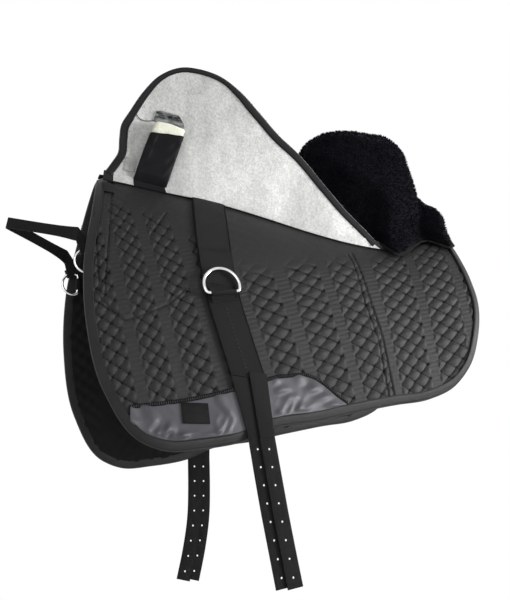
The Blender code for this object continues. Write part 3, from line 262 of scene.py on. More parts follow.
def sweep(name, rings, look, body, closed=False):
    """Closed body through matching rings of points; a closed one runs round to its first ring."""
    rings = np.asarray(rings, float)
    count, sides = rings.shape[:2]
    here, after = np.arange(sides), (np.arange(sides) + 1) % sides
    bases = [(k * sides, (k + 1) % count * sides) for k in range(count if closed else count - 1)]
    faces = np.concatenate([np.column_stack([a + here, a + after, b + after, b + here]) for a, b in bases])
    points = rings.reshape(-1, 3)
    if closed:
        return add_piece(name, points, faces, look, body, 0)
    points = np.concatenate([points, [rings[0].mean(0), rings[-1].mean(0)]])
    first, top = count * sides, (count - 1) * sides
    caps = [[first, (s + 1) % sides, s] for s in range(sides)]
    caps += [[first + 1, top + s, top + (s + 1) % sides] for s in range(sides)]
    return add_piece(name, points, faces.tolist() + caps, look, body)


def coons(outline, corners, rows, columns):
    """Grid over an outline that runs from one end of its straight side round to the other."""
    table, keys = arc_table(outline)
    first, second, total = keys[corners[0]], keys[corners[1]], keys[-1]
    t, s = np.linspace(0, 1, rows + 1), np.linspace(0, 1, columns + 1)
    front, low = curve(table, first * t), curve(table, first + (second - first) * s)
    rear = curve(table, second + (total - second) * (1 - t))
    top = front[0] * (1 - s[:, None]) + rear[0] * s[:, None]
    t, s = t[:, None, None], s[None, :, None]
    bilinear = (1 - s) * (1 - t) * front[0] + s * (1 - t) * rear[0] + (1 - s) * t * front[-1] + s * t * rear[-1]
    return (1 - s) * front[:, None] + s * rear[:, None] + (1 - t) * top[None] + t * low[None] - bilinear


def line_distance(points, line):
    """Distance of points to a polyline, in the plane."""
    best = np.full(points.shape[:-1], np.inf)
    for a, b in zip(np.asarray(line)[:-1], np.asarray(line)[1:]):
        ahead = b - a
        t = np.clip(((points - a) @ ahead) / max(ahead @ ahead, 1e-12), 0.0, 1.0)
        best = np.minimum(best, np.linalg.norm(points - a - t[..., None] * ahead, axis=-1))
    return best


def ways_out(points):
    """The way out at each point of an outline, straight along the ridge at both ends."""
    ahead = np.gradient(points, axis=0)
    out = np.column_stack([-ahead[:, 1], ahead[:, 0]]) / np.linalg.norm(ahead, axis=1)[:, None]
    out[0], out[-1] = (-1.0, 0.0), (1.0, 0.0)
    return out


def edge_line(outline, steps):
    """Points evenly round an outline, and the way out at each."""
    table, keys = arc_table(outline)
    points = curve(table, np.linspace(0, keys[-1], steps))
    return points, ways_out(points)


def inset(outline, distance):
    outline = np.asarray(outline, float)
    return outline - ways_out(outline) * distance


# Looks: every one is made of nodes in the pad's own coordinates, and takes a grey level or three values as a tone

LOOKS = {}


def fill(tree, node, values):
    """Set a node's sockets to values, or link them to other nodes' outputs."""
    for socket, value in values.items():
        if isinstance(value, bpy.types.NodeSocket):
            tree.links.new(value, node.inputs[socket])
        else:
            node.inputs[socket].default_value = value
    return node.outputs


def add_node(tree, kind, values):
    return fill(tree, tree.nodes.new("ShaderNode" + kind), values)


def operate(tree, kind, operation, values):
    node = tree.nodes.new("ShaderNode" + kind)
    node.operation = operation
    return fill(tree, node, values)["Value"]


def tint(tone):
    """A colour from a grey level or from three values."""
    return tuple(tone) if isinstance(tone, tuple) else (tone, tone, tone)


class Look:
    """A material's node tree, with short calls to add to it."""

    def __init__(self, name, roughness, sheen=0.0, specular=0.2, metallic=0.0, sheen_tint=(1, 1, 1)):
        LOOKS[name] = material = bpy.data.materials.new(name)
        material.use_nodes = True
        self.tree = material.node_tree
        self.shader = self.tree.nodes["Principled BSDF"]
        self.set({"Roughness": roughness, "Metallic": metallic, "Specular IOR Level": specular,
                  "Sheen Weight": sheen, "Sheen Roughness": 0.45, "Sheen Tint": (*sheen_tint, 1)})
        self.coordinates = add_node(self.tree, "TexCoord", {})["Object"]
        self.normal = None

    def set(self, values):
        fill(self.tree, self.shader, values)
        return self

    def mapped(self, values):
        return add_node(self.tree, "Mapping", {"Vector": self.coordinates, **values})["Vector"]

    def noise(self, scale, detail=3.0, roughness=0.55, stretch=None):
        place = self.mapped({"Scale": stretch}) if stretch else self.coordinates
        return add_node(self.tree, "TexNoise", {"Scale": scale, "Detail": detail, "Roughness": roughness,
                                                "Vector": place})["Fac"]

    def wave(self, scale, turn):
        return add_node(self.tree, "TexWave", {"Scale": scale, "Vector": self.mapped({"Rotation": turn})})["Fac"]

    def cells(self, scale):
        return add_node(self.tree, "TexVoronoi", {"Scale": scale, "Vector": self.coordinates})["Distance"]

    def texture(self, kind, *values):
        return {"noise": self.noise, "wave": self.wave, "cells": self.cells}[kind](*values)

    def along(self, way, shift):
        """Share that grows along a direction over the pad."""
        reach = operate(self.tree, "VectorMath", "DOT_PRODUCT", {0: self.coordinates, 1: way})
        return operate(self.tree, "Math", "ADD", {0: reach, 1: shift})

    def ramp(self, factor, *stops):
        node = self.tree.nodes.new("ShaderNodeValToRGB")
        for stop, (at, tone) in zip(node.color_ramp.elements, stops):
            stop.position, stop.color = at, (*tint(tone), 1)
        return fill(self.tree, node, {"Fac": factor})["Color"]

    def multiply(self, a, b, share):
        node = self.tree.nodes.new("ShaderNodeMix")
        node.data_type, node.blend_type = "RGBA", "MULTIPLY"
        return fill(self.tree, node, {"Factor": share, 6: a, 7: b})[2]

    def colour(self, value):
        return self.set({"Base Color": value})

    def rough(self, scale, low, high):
        return self.set({"Roughness": add_node(self.tree, "MapRange", {
            "Value": self.noise(scale), "To Min": low, "To Max": high})["Result"]})

    def bump(self, height, distance, strength=1.0):
        values = {"Distance": distance, "Strength": strength, "Height": height}
        if self.normal is not None:
            values["Normal"] = self.normal
        self.normal = add_node(self.tree, "Bump", values)["Normal"]
        return self.set({"Normal": self.normal})


# Name, roughness, sheen, specular, the texture of its tones, its darkest and lightest stop, its bumps (texture,
# distance and strength) and, where its roughness varies, the noise's scale and the two ends
PLAIN_LOOKS = (
    # The valley look is painted shade: darker cloth on the faces low in the stitched valleys
    ("quilt_valley", 0.7, 0, 0.08, ("noise", 60), (0.3, 0.003), (0.7, 0.006), [(("noise", 160), 0.0006, 0.6)]),
    ("lining", 0.6, 0, 0.1, ("noise", 12), (0.3, 0.003), (0.7, 0.006), [(("noise", 700, 2), 0.0003)]),
    ("binding", 0.5, 0.04, 0.2, ("noise", 25), (0.3, 0.009), (0.7, 0.016), [(("wave", 520, (0.3, 0.2, 0.5)), 0.0001)],
     (90, 0.42, 0.6)),
    ("wing_edge", 0.5, 0.04, 0.15, ("noise", 25), (0.3, (0.006, 0.006, 0.007)), (0.7, (0.011, 0.011, 0.012)),
     [(("noise", 70), 0.0008)], (90, 0.42, 0.6)),
    ("webbing", 0.5, 0, 0.15, ("wave", 330, (0, 0.2, 0)), (0.2, 0.003), (0.8, 0.010),
     [(("wave", 330, (0, 0.2, 0)), 0.00035), (("wave", 260, (0, 1.75, 0)), 0.0004)], (80, 0.42, 0.6)),
    ("suede_edge", 0.9, 0, 0.1, ("noise", 90), (0.3, 0.008), (0.7, 0.018), []),
    ("pocket", 0.6, 0.04, 0.10, ("noise", 30), (0.3, (0.0025, 0.0025, 0.0033)), (0.7, (0.0060, 0.0060, 0.0073)),
     [(("noise", 45), 0.0012, 0.7), (("noise", 900, 2), 0.0002)]),
    ("mesh", 0.7, 0, 0.1, ("noise", 95, 4, 0.7, (0.5, 1, 1.6)), (0.38, (0.010, 0.010, 0.011)),
     (0.62, (0.26, 0.27, 0.27)), [(("cells", 900), 0.0003)]),
    ("tab", 0.85, 0, 0.1, ("noise", 120), (0.3, (0.33, 0.33, 0.32)), (0.7, (0.48, 0.48, 0.47)),
     [(("cells", 900), 0.0004)]),
    ("elastic", 0.7, 0, 0.2, ("noise", 300), (0.3, 0.10), (0.7, 0.20), [(("wave", 900, (0, 0.8, 0)), 0.0001)]),
    ("foam", 0.9, 0, 0.2, ("noise", 60, 4), (0.3, (0.66, 0.66, 0.54)), (0.6, (0.82, 0.83, 0.70)),
     [(("cells", 520), 0.0007)]),
    ("satin", 0.42, 0.05, 0.30, ("noise", 14), (0.3, (0.040, 0.040, 0.047)), (0.7, (0.084, 0.084, 0.094)),
     [(("wave", 480, (0, 0.15, 0)), 0.00006)]),
    ("label", 0.6, 0, 0.08, ("noise", 120), (0.3, 0.005), (0.7, 0.009), [(("wave", 700, (0, 0.2, 0)), 0.0001)]),
    ("thread", 0.6, 0, 0.08, ("noise", 200), (0.3, 0.003), (0.7, 0.006), [(("wave", 900, (0, 0.8, 0)), 0.0001)]),
    ("thread_grey", 0.55, 0, 0.2, ("noise", 200), (0.3, (0.060, 0.060, 0.068)), (0.7, (0.110, 0.110, 0.120)),
     [(("wave", 900, (0, 0.8, 0)), 0.0001)]),
)


def make_looks():
    for name, roughness, sheen, specular, tones, dark, light, bumps, *varied in PLAIN_LOOKS:
        plain = Look(name, roughness, sheen, specular)
        plain.colour(plain.ramp(plain.texture(*tones), dark, light))
        for texture, *size in bumps:
            plain.bump(plain.texture(*texture), *size)
        for scale, low, high in varied:
            plain.rough(scale, low, high)

    quilt = Look("quilt", 0.44, 0.03, 0.26)
    tone = quilt.ramp(quilt.noise(9, 4, stretch=(1, 1, 0.6)), (0.3, 0.006), (0.7, 0.014))
    # Painted light and shade: the cloth's colour is darkened towards the front and the ridge and lightened towards the
    # rear and its lower edge.
    painted_light_falloff = quilt.ramp(quilt.along((0.55, 0.0, -0.75), 0.30), (0.30, 0.45), (0.85, (1.1, 1.1, 1.15)))
    quilt.colour(quilt.multiply(tone, painted_light_falloff, 1.0)).rough(60, 0.40, 0.60)
    quilt.bump(quilt.wave(420, (0, 0.15, 0)), 0.00008).bump(quilt.wave(420, (0, 1.72, 0)), 0.00008)
    quilt.bump(quilt.noise(160), 0.0006, 0.6)

    suede = Look("suede", 0.9, 0.05, 0.1)
    broad = suede.ramp(suede.noise(11, 5, 0.65, (1, 1, 0.45)), (0.3, (0.42, 0.43, 0.42)), (0.72, (0.76, 0.76, 0.75)))
    fine = suede.ramp(suede.noise(230, 4, 0.7), (0.28, (0.58, 0.58, 0.56)), (0.62, 1.0))
    suede.colour(suede.multiply(broad, fine, 0.8))
    suede.bump(suede.noise(300, 4, 0.7), 0.0009).bump(suede.noise(40), 0.0018, 0.7)

    fleece = Look("fleece", 0.8, 0.04, 0.04, sheen_tint=(0.6, 0.6, 0.8))
    fleece.colour(fleece.ramp(fleece.noise(70), (0.3, (0.0012, 0.0009, 0.0018)), (0.75, (0.0038, 0.0032, 0.0050))))
    fleece.bump(fleece.noise(420), 0.0008)

    hook = Look("hook", 0.85)
    hook.colour((*tint(0.012), 1)).bump(hook.cells(900), 0.0006)

    chrome = Look("chrome", 0.14, metallic=1.0)
    chrome.colour(chrome.ramp(chrome.noise(50), (0.3, 0.62), (0.7, 0.80))).rough(120, 0.10, 0.24)


make_looks()


# Thread, wool and softened copies

def stitches(name, centres, ahead, up, length, width, look, body):
    """Many short threads, each a lozenge lying along its own way."""
    centres, ahead, up = (np.asarray(a, float) for a in (centres, ahead, up))
    ahead = ahead / np.linalg.norm(ahead, axis=1)[:, None]
    side = np.cross(up, ahead)
    side /= np.linalg.norm(side, axis=1)[:, None]
    up = np.cross(ahead, side)
    half, wide = length / 2, width / 2
    corners = [centres - ahead * half, centres + side * wide, centres + up * wide, centres - side * wide,
               centres - up * wide, centres + ahead * half]
    points = np.stack(corners, 1).reshape(-1, 3)
    base = (np.arange(len(centres)) * 6)[:, None, None]
    tris = np.array([(0, 2, 1), (0, 3, 2), (0, 4, 3), (0, 1, 4), (5, 1, 2), (5, 2, 3), (5, 3, 4), (5, 4, 1)])
    return add_piece(name, points, (base + tris[None]).reshape(-1, 3), look, body, 0)


def triples(items, field, kind=float):
    """A mesh's values, three for each of its vertices or triangles."""
    values = np.zeros(len(items) * 3, kind)
    items.foreach_get(field, values)
    return values.reshape(-1, 3)


def surface_samples(made, count, seed, keep):
    """Points spread over a mesh by area, with the way out at each."""
    mesh = made.data
    mesh.calc_loop_triangles()
    points, normals = triples(mesh.vertices, "co"), triples(mesh.vertices, "normal")
    corners = triples(mesh.loop_triangles, "vertices", np.int64)
    a, b, c = (points[corners[:, k]] for k in range(3))
    flat = np.cross(b - a, c - a)
    area = np.linalg.norm(flat, axis=1) / 2
    area = area * keep(flat / np.maximum(area * 2, 1e-12)[:, None])
    draw = np.random.default_rng(seed)
    picked = draw.choice(len(area), count, p=area / area.sum())
    u, v = draw.random((2, count))
    over = u + v > 1
    u, v = np.where(over, 1 - u, u)[:, None], np.where(over, 1 - v, v)[:, None]
    at = a[picked] * (1 - u - v) + b[picked] * u + c[picked] * v
    a, b, c = (normals[corners[picked, k]] for k in range(3))
    way = a * (1 - u - v) + b * u + c * v
    return at, way / np.linalg.norm(way, axis=1)[:, None]


def wool(name, roots, ways, length, radius, seed, body, droop):
    """Locks of wool: three-sided tapering horns that bend over."""
    draw = np.random.default_rng(seed)
    count = len(roots)
    lean = draw.normal(size=(count, 3))
    lean -= ways * np.einsum("ij,ij->i", lean, ways)[:, None]
    lean /= np.maximum(np.linalg.norm(lean, axis=1), 1e-9)[:, None]
    side = np.cross(ways, lean)
    size = draw.uniform(0.7, 1.25, (count, 1))
    length, radius = length * size, radius * draw.uniform(0.8, 1.2, (count, 1))
    sag = np.array([0.0, 0.0, -droop])
    rings = []
    for share, wide, bend in ((-0.15, 1.0, 0.0), (0.5, 0.85, 0.22), (1.0, 0.12, 0.75)):
        middle = roots + ways * length * share * (1 - 0.25 * bend) + (lean * bend + sag * share**2) * length * 0.6
        rings += [middle + (lean * math.cos(turn) + side * math.sin(turn)) * radius * wide
                  for turn in (0.0, 2.0944, 4.18879)]
    points = np.stack(rings, 1).reshape(-1, 3)
    base = (np.arange(count) * len(rings))[:, None, None]
    quads = np.array([(r + i, r + (i + 1) % 3, r + 3 + (i + 1) % 3, r + 3 + i) for r in (0, 3) for i in range(3)])
    caps = np.array([(0, 2, 1), (6, 7, 8)])
    faces = (base + quads[None]).reshape(-1, 4).tolist() + (base + caps[None]).reshape(-1, 3).tolist()
    return add_piece(name, points, faces, "fleece", body, 0)


def grow_wool(name, made, locks, keep, seeds, body, droop=0.35):
    """Locks of wool over the parts of a mesh whose way out is kept."""
    count, length, radius = locks
    wool(name, *surface_samples(made, count, seeds[0], keep), length, radius, seeds[1], body, droop)


def copied(name, nodes):
    """One new object with the shapes of some solids."""
    shape = bmesh.new()
    for node in nodes:
        shape.from_mesh(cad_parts[node].data)
    mesh = bpy.data.meshes.new(name)
    shape.to_mesh(mesh)
    shape.free()
    return linked(name, mesh)


def applied(made):
    """The object with its modifiers turned into mesh."""
    graph = bpy.context.evaluated_depsgraph_get()
    mesh = bpy.data.meshes.new_from_object(made.evaluated_get(graph))
    made.modifiers.clear()
    made.data = mesh
    return made


def softened(name, node, look, body, bevel, levels=0, change=None):
    """A smoother stand-in for one solid: its edges rounded, its faces subdivided."""
    made = copied(name, [node])
    if change:
        for vertex in made.data.vertices:
            vertex.co = change(vertex.co)
    made.modifiers.new("weld", "WELD").merge_threshold = 0.00002
    join = made.modifiers.new("join", "DECIMATE")
    join.decimate_type, join.angle_limit = "DISSOLVE", math.radians(0.5)
    round_off = made.modifiers.new("round", "BEVEL")
    round_off.width, round_off.segments = bevel, 2
    round_off.limit_method, round_off.angle_limit = "ANGLE", math.radians(30)
    if levels:
        finer = made.modifiers.new("finer", "SUBSURF")
        finer.levels = finer.render_levels = levels
    applied(made)
    made.data.shade_smooth()
    made.data.set_sharp_from_angle(angle=math.radians(60))
    finish_piece(made, look, body)
    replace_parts(made, node)
    return made


def largest_part(made):
    """Leaves only the largest connected part of a mesh."""
    shape = bmesh.new()
    shape.from_mesh(made.data)
    left, groups = set(shape.verts), []
    while left:
        stack, group = [left.pop()], []
        while stack:
            vertex = stack.pop()
            group.append(vertex)
            others = {edge.other_vert(vertex) for edge in vertex.link_edges} & left
            left -= others
            stack += others
        groups.append(group)
    groups.sort(key=len, reverse=True)
    for group in groups[1:]:
        bmesh.ops.delete(shape, geom=group, context="VERTS")
    shape.to_mesh(made.data)
    shape.free()


def remeshed(name, nodes, body, voxel, rounds):
    """A fused, rounded padded body over some soft solids, without the hollows inside."""
    made = copied(name, nodes)
    fuse = made.modifiers.new("fuse", "REMESH")
    fuse.mode, fuse.voxel_size = "VOXEL", voxel
    ease = made.modifiers.new("ease", "SMOOTH")
    ease.iterations, ease.factor = rounds, 0.5
    largest_part(applied(made))
    made.data.shade_smooth()
    finish_piece(made, "fleece", body)
    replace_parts(made, *nodes)
    return made


# Quilted flaps: grids as rows and columns, lifts and depths in metres

WRAP = 0.0009
CLOTH_GRID, LINING_GRID, INNER_SKIP = (280, 420), (120, 180), 4
LINING_BASE, LINING_SHEET, LINING_PUFF = 0.0006, 0.0012, 0.7
LADDER_STAND, FLAT_STAND, SEAM_DEPTH, SEAM_HALF = 0.0014, 0.0018, 0.0021, 0.0017
THREAD_LIFT, QUILT_THREAD, BAND_EDGE = 0.0004, 0.0013, 0.03
VALLEY_DEPTH, PUFF_POWER, BAND_SHIFT, SHADED_VALLEY_SHARE = 0.0031, 0.62, 0.31, 0.19
QUILT_PITCH, QUILT_STITCH = 0.0034, 0.0030
OUTLINE = np.array([(a * PAD_LENGTH - FRONT_REACH, b * FLAP_DEPTH) for a, b in OUTLINE_SHARES])


def band_lines(down):
    """Places along the pad of all the bands' middles, at places down the flap."""
    return np.array(BAND_CENTRES) + np.array(BAND_LEANS) * (down[..., None] - BAND_LEVEL)


def band_ends(lines, index):
    """Middles of a band and of the next one."""
    return (np.take_along_axis(lines, (index + step)[..., None], -1)[..., 0] for step in (0, 1))


def band_share(x, down):
    """Place across the quilting: a whole number on the middle of each diamond band."""
    lines = band_lines(down)
    index = np.clip((lines <= x[..., None]).sum(-1) - 1, 0, len(BAND_CENTRES) - 2)
    low, high = band_ends(lines, index)
    return index + (x - low) / (high - low)


def row_rise(x):
    """How far the quilting's rows have climbed at a place along the pad."""
    steps = np.linspace(ROW_TILTS[0][0], ROW_TILTS[-1][0], 160)
    tilts = curve(ROW_TILTS, steps)[:, 0]
    climbed = np.concatenate([[0.0], np.cumsum((tilts[1:] + tilts[:-1]) / 2 * np.diff(steps))])
    return np.interp(x, steps, climbed)


def quilt_parts(x, down):
    """Height shares of the diamonds and of the ladder rungs, and how far inside a band a place is."""
    share = band_share(x, down)
    band = np.clip(np.round(share), 0, len(BAND_CENTRES) - 1).astype(int)
    off = share - band
    half = np.array(BAND_HALVES)[band]
    across = (off + half) / (2 * half) * np.array(BAND_DIAMONDS)[band]
    level = down + row_rise(x)
    along = level / DIAMOND_LENGTH + BAND_SHIFT * band
    diamonds = np.abs(np.sin(math.pi * (across + along)) * np.sin(math.pi * (across - along))) ** PUFF_POWER
    rungs = np.abs(np.sin(math.pi * level / LADDER_PITCH)) ** 0.6
    return diamonds, rungs, smooth((half - np.abs(off)) / BAND_EDGE + 0.5)


def quilt_shown(x, down):
    """0 near the ridge, where the cloth is pulled smooth, and 1 where the quilting stands out."""
    return smooth((down - curve(QUILT_STARTS, x)[..., 0]) / 0.06 + 0.5)


def quilting(x, down):
    """How far the cloth stands above its stitched valleys."""
    diamonds, rungs, inside = quilt_parts(x, down)
    shown = FLAT_QUILT + (1 - FLAT_QUILT) * quilt_shown(x, down)
    stand = inside * diamonds * DIAMOND_PUFF + (1 - inside) * (LADDER_STAND + rungs * LADDER_PUFF)
    return stand * shown + FLAT_STAND * (1 - shown)


def edge_rise(distance):
    return smooth((distance - 0.001) / (EDGE_BAND - 0.001))


def band_x(band, off, down):
    """Place along the pad of a share of a band, the other way round."""
    lines = band_lines(down)
    low, high = band_ends(lines, np.clip(band + np.where(off < 0, -1, 0), 0, len(BAND_CENTRES) - 2))
    return lines[..., band] + off * (high - low)


def quilt_runs():
    """The stitched lines of the quilting, each a row of places on the flap."""
    lines = []
    share = np.linspace(0, 1, 14)
    for band, (half, diamonds) in enumerate(zip(BAND_HALVES, BAND_DIAMONDS)):
        off = (share * 2 - 1) * half
        for turn in (1, -1):
            for k in range(-14, 30):
                level = (k - turn * share * diamonds - BAND_SHIFT * band) * DIAMOND_LENGTH
                down = level
                for _ in range(8):
                    x = band_x(band, off, down)
                    down = level - row_rise(x)
                lines.append(np.column_stack([x, down]))
    return lines


def inside_outline(points, outline):
    a, b = outline, np.roll(outline, -1, axis=0)
    spans = (a[:, 1] > points[:, None, 1]) != (b[:, 1] > points[:, None, 1])
    rise = np.where(b[:, 1] == a[:, 1], 1e-9, b[:, 1] - a[:, 1])
    crossing = a[:, 0] + (points[:, None, 1] - a[:, 1]) * (b[:, 0] - a[:, 0]) / rise
    return (spans & (points[:, None, 0] < crossing)).sum(1) % 2 == 1


def bell(x):
    return np.exp(-(x**2))


def cloth_lift(cells, border):
    """Outer face of the quilted cloth above the lining's inner face."""
    distance = line_distance(cells, border)
    rise = edge_rise(distance)
    lift = (RIM_TOP + (CLOTH_TOP - VALLEY_DEPTH - RIM_TOP) * rise
            + quilting(cells[..., 0], cells[..., 1]) * smooth((distance - 0.006) / 0.012))
    for seam in SEAMS:
        lift -= SEAM_DEPTH * bell(line_distance(cells, seam) / SEAM_HALF) * rise
    return lift


def pad_place(side):
    """A function that places flat spots (along, down) on one side of the pad at a lift."""
    return lambda spots, lift: on_pad(spots[..., 0], spots[..., 1], side, lift)


def lay_threads(name, place, spots, tips, lift, length, width, look="thread", body="pad"):
    """Threads at flat spots on a face, each lying towards its tip."""
    at = place(spots, lift)
    stitches(name, at, place(tips, lift) - at, place(spots, lift + 0.001) - at, length, width, look, body)


def quilt_threads(label, side, border):
    """Sewn threads lying in the quilting's valleys."""
    spots, tips = [], []
    for line in quilt_runs():
        table, keys = arc_table(line)
        at = np.arange(QUILT_PITCH / 2, keys[-1], QUILT_PITCH)
        spots.append(curve(table, at))
        tips.append(curve(table, np.minimum(at + 0.0004, keys[-1])))
    spots, tips = np.concatenate(spots), np.concatenate(tips)
    keep = inside_outline(spots, border) & (spots[:, 1] > 0.006)
    keep &= (line_distance(spots, border) > 0.015) & (quilt_shown(spots[:, 0], spots[:, 1]) > 0.4)
    spots, tips = spots[keep], tips[keep]
    lay_threads(f"{label}_quilt_stitches", pad_place(side), spots, tips, cloth_lift(spots, border) + THREAD_LIFT,
                QUILT_STITCH, QUILT_THREAD)


def flap_cells(outline, rows, columns):
    """Grid over a flap, with its places along and down."""
    cells = coons(outline, PAD_CORNERS, rows, columns)
    cells[..., 1] = np.maximum(cells[..., 1], 0.0)
    return cells, cells[..., 0], cells[..., 1]


def make_panels():
    outline = inset(OUTLINE, WRAP)
    border = edge_line(outline, 200)[0]
    cells, x, down = flap_cells(outline, *CLOTH_GRID)
    lift = cloth_lift(cells, border)
    centre_x, centre_down = np.moveaxis((cells[1:, 1:] + cells[:-1, :-1]) / 2, -1, 0)
    diamonds, _, inside = quilt_parts(centre_x, centre_down)
    # Faces low in the diamonds take the darker valley look: painted shade in the stitched valleys.
    valleys = ((diamonds < SHADED_VALLEY_SHARE) & (inside > 0.5) & (quilt_shown(centre_x, centre_down) > 0.5)).ravel()
    lining_cells, lining_x, lining_down = flap_cells(outline, *LINING_GRID)
    low = LINING_BASE - quilting(lining_x, lining_down) * LINING_PUFF * edge_rise(line_distance(lining_cells, border))
    for label, side in SIDES:
        cloth = shell(f"{label}_quilted_cloth", on_pad(x, down, side, lift - CLOTH), on_pad(x, down, side, lift),
                      "quilt", "pad", INNER_SKIP)
        paint(cloth, ["quilt_valley"], valleys)
        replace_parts(cloth, f"{label}_outer_cloth", f"{label}_wadding")
        lining = pad_shell(f"{label}_inner_lining", lining_x, lining_down, side, low, low + LINING_SHEET, "lining")
        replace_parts(lining, f"{label}_lining")
        cut_sheet(lining_cells, on_pad(lining_x, lining_down, side, low))
        quilt_threads(label, side, border)
        make_binding(label, outline, side)
        make_seam_threads(label, side)


def tape_section(rise_at, top, bottom, swell):
    """Outer and inner faces of a folded tape, as (distance in from the edge, lift)."""
    edge = (rise_at(0) + bottom) / 2
    outer = [(at, rise_at(at) + top * flat + swell * share) for at, flat, share in (
        (0.0136, 1, 0), (0.0128, 1, 0.7), (0.0100, 1, 1), (0.0060, 1, 1), (0.0028, 1, 0.6), (0.0006, 0.6, 0))]
    outer += [(-0.0009, edge), (0.0006, bottom + top * 0.1), (0.0028, bottom - swell * 0.4),
              (0.0060, bottom - swell * 0.7), (0.0100, bottom - swell * 0.7), (0.0136, bottom)]
    inner = [(0.0136, bottom + 0.0005), (0.0100, bottom + 0.0004), (0.0060, bottom + 0.0004),
             (0.0028, bottom + 0.0005), (0.0010, bottom + 0.0010), (0.0002, edge), (0.0010, rise_at(0.001) - 0.0002)]
    inner += [(at, rise_at(at) + top - 0.0006) for at in (0.0028, 0.0060, 0.0100, 0.0136)]
    return np.array(outer + inner)


def make_binding(label, outline, side):
    def rise_at(distance):
        return RIM_TOP + (CLOTH_TOP - RIM_TOP) * float(edge_rise(distance))
    points, out = edge_line(outline, 420)
    section = tape_section(rise_at, 0.0008, -0.0007, 0.0010)
    spots = points[:, None] - out[:, None] * section[None, :, :1]
    rings = on_pad(spots[..., 0], np.maximum(spots[..., 1], 0.0), side, section[:, 1])
    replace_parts(sweep(f"{label}_edge_tape", rings, "binding", "pad"), f"{label}_edge_binding")
    add_stitch_line(f"{label}_edge_stitches", points - out * TAPE_SEAM, side, rise_at(TAPE_SEAM) + 0.0019,
                    *TAPE_STITCH)


def add_stitch_line(name, line, side, lift, pitch, length, width, look="thread", slant=0.0):
    """Threads along a line on the pad, a pitch apart, slanted by turns to either side."""
    table, keys = arc_table(line)
    at = np.arange(pitch / 2, keys[-1], pitch)
    points = curve(table, at)
    ahead = curve(table, np.minimum(at + 0.0005, keys[-1])) - points
    ahead /= np.maximum(np.linalg.norm(ahead, axis=1), 1e-9)[:, None]
    turn = np.where(np.arange(len(at)) % 2, slant, -slant)
    ahead = np.column_stack([ahead[:, 0] * np.cos(turn) - ahead[:, 1] * np.sin(turn),
                             ahead[:, 0] * np.sin(turn) + ahead[:, 1] * np.cos(turn)])
    points[:, 1] = np.maximum(points[:, 1], 0.0005)
    lay_threads(name, pad_place(side), points, points + ahead * 0.001, lift, length, width, look)


def make_seam_threads(label, side):
    for index, seam in enumerate(SEAMS):
        line = curve(np.column_stack([np.linspace(0, 1, len(seam)), np.asarray(seam)]), np.linspace(0, 1, 40))
        add_stitch_line(f"{label}_seam_{index}", line, side, CLOTH_TOP - 0.0020, *SEAM_STITCH)


# Girth web, billets and rings

WEB_LINE = ((0.0, 0.0), (0.060, -0.008), (0.140, -0.011), (0.235, -0.004), (0.310, 0.013), (0.380, 0.031))
WEB_WIDTH, WEB_END, WEB_SHOWN = 0.050, 0.380, 0.060
WEB_SEAM, WEB_EDGES, WEB_LAP, LAP_SEAMS = (0.262, 0.372), (0.004, 0.378), (0.150, 0.222), (0.1525, 0.1560)
CROSS_SLOPE, KEEPER_HALF, KEEPER_SEAM = 0.12, 0.020, 0.0122
ROOT_FOOT, ROOT_SHIFT, BILLET_LAP = 0.045, 0.014, 0.0012
RING_X, RING_DEPTH, RING_RADIUS, RING_DROP, RING_WIRE = -0.0035, 0.238, 0.031, 0.013, 0.0028
RING_LIFT = RING_WIRE + 0.0012 + 0.0006
FRONT_RING = (-0.2205, 0.073, -0.149)
FRONT_RADIUS, FRONT_DROP, FRONT_WIRE = 0.019, 0.008, 0.0022


def web_x(down):
    return curve(WEB_LINE, np.abs(down))[..., 0]


def flat_strip(name, offsets, width, low, high, side=None):
    """Woven strap over the pad with rounded edges; without a side, its offsets cross the spine."""
    share = np.linspace(-0.5, 0.5, 13)
    offsets = np.asarray(offsets)[:, None]
    x = web_x(offsets) + width * share[None]
    offset = np.broadcast_to(offsets, x.shape)
    middle, half = (low + high) / 2, (high - low) / 2 * (1 - 0.6 * (np.abs(share) * 2) ** 12)
    if side:
        return pad_shell(name, x, offset, side, middle - half, middle + half, "webbing")
    return shell(name, across_pad(x, offset, middle - half), across_pad(x, offset, middle + half), "webbing", "pad")


def raised_top(billet, root):
    """Moves a billet's top edge up until it meets the root that it hangs from."""
    top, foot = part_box(billet)[1][2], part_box(root)[0][2]

    def change(spot):
        return spot + Vector((0, 0, foot - top + BILLET_LAP)) if spot.z > top - 0.0005 else spot
    return change


def widened_root(root):
    """Widens a billet's root at its upper end to the web's own width."""
    low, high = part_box(root)[0][2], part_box(root)[1][2]

    def change(spot):
        share = (spot.z - low) / (high - low)
        middle = ROOT_FOOT - ROOT_SHIFT * share
        return Vector((middle + (spot.x - middle) * (1 + (WEB_SHOWN / WEB_WIDTH - 1) * share), spot.y, spot.z))
    return change


def sewn_across(name, x, down, half, side, lift):
    """A row of stitches across the web."""
    line = [(x + half * share, down - CROSS_SLOPE * half * share) for share in (-1.0, 0.0, 1.0)]
    add_stitch_line(name, line, side, lift, *CROSS_STITCH)


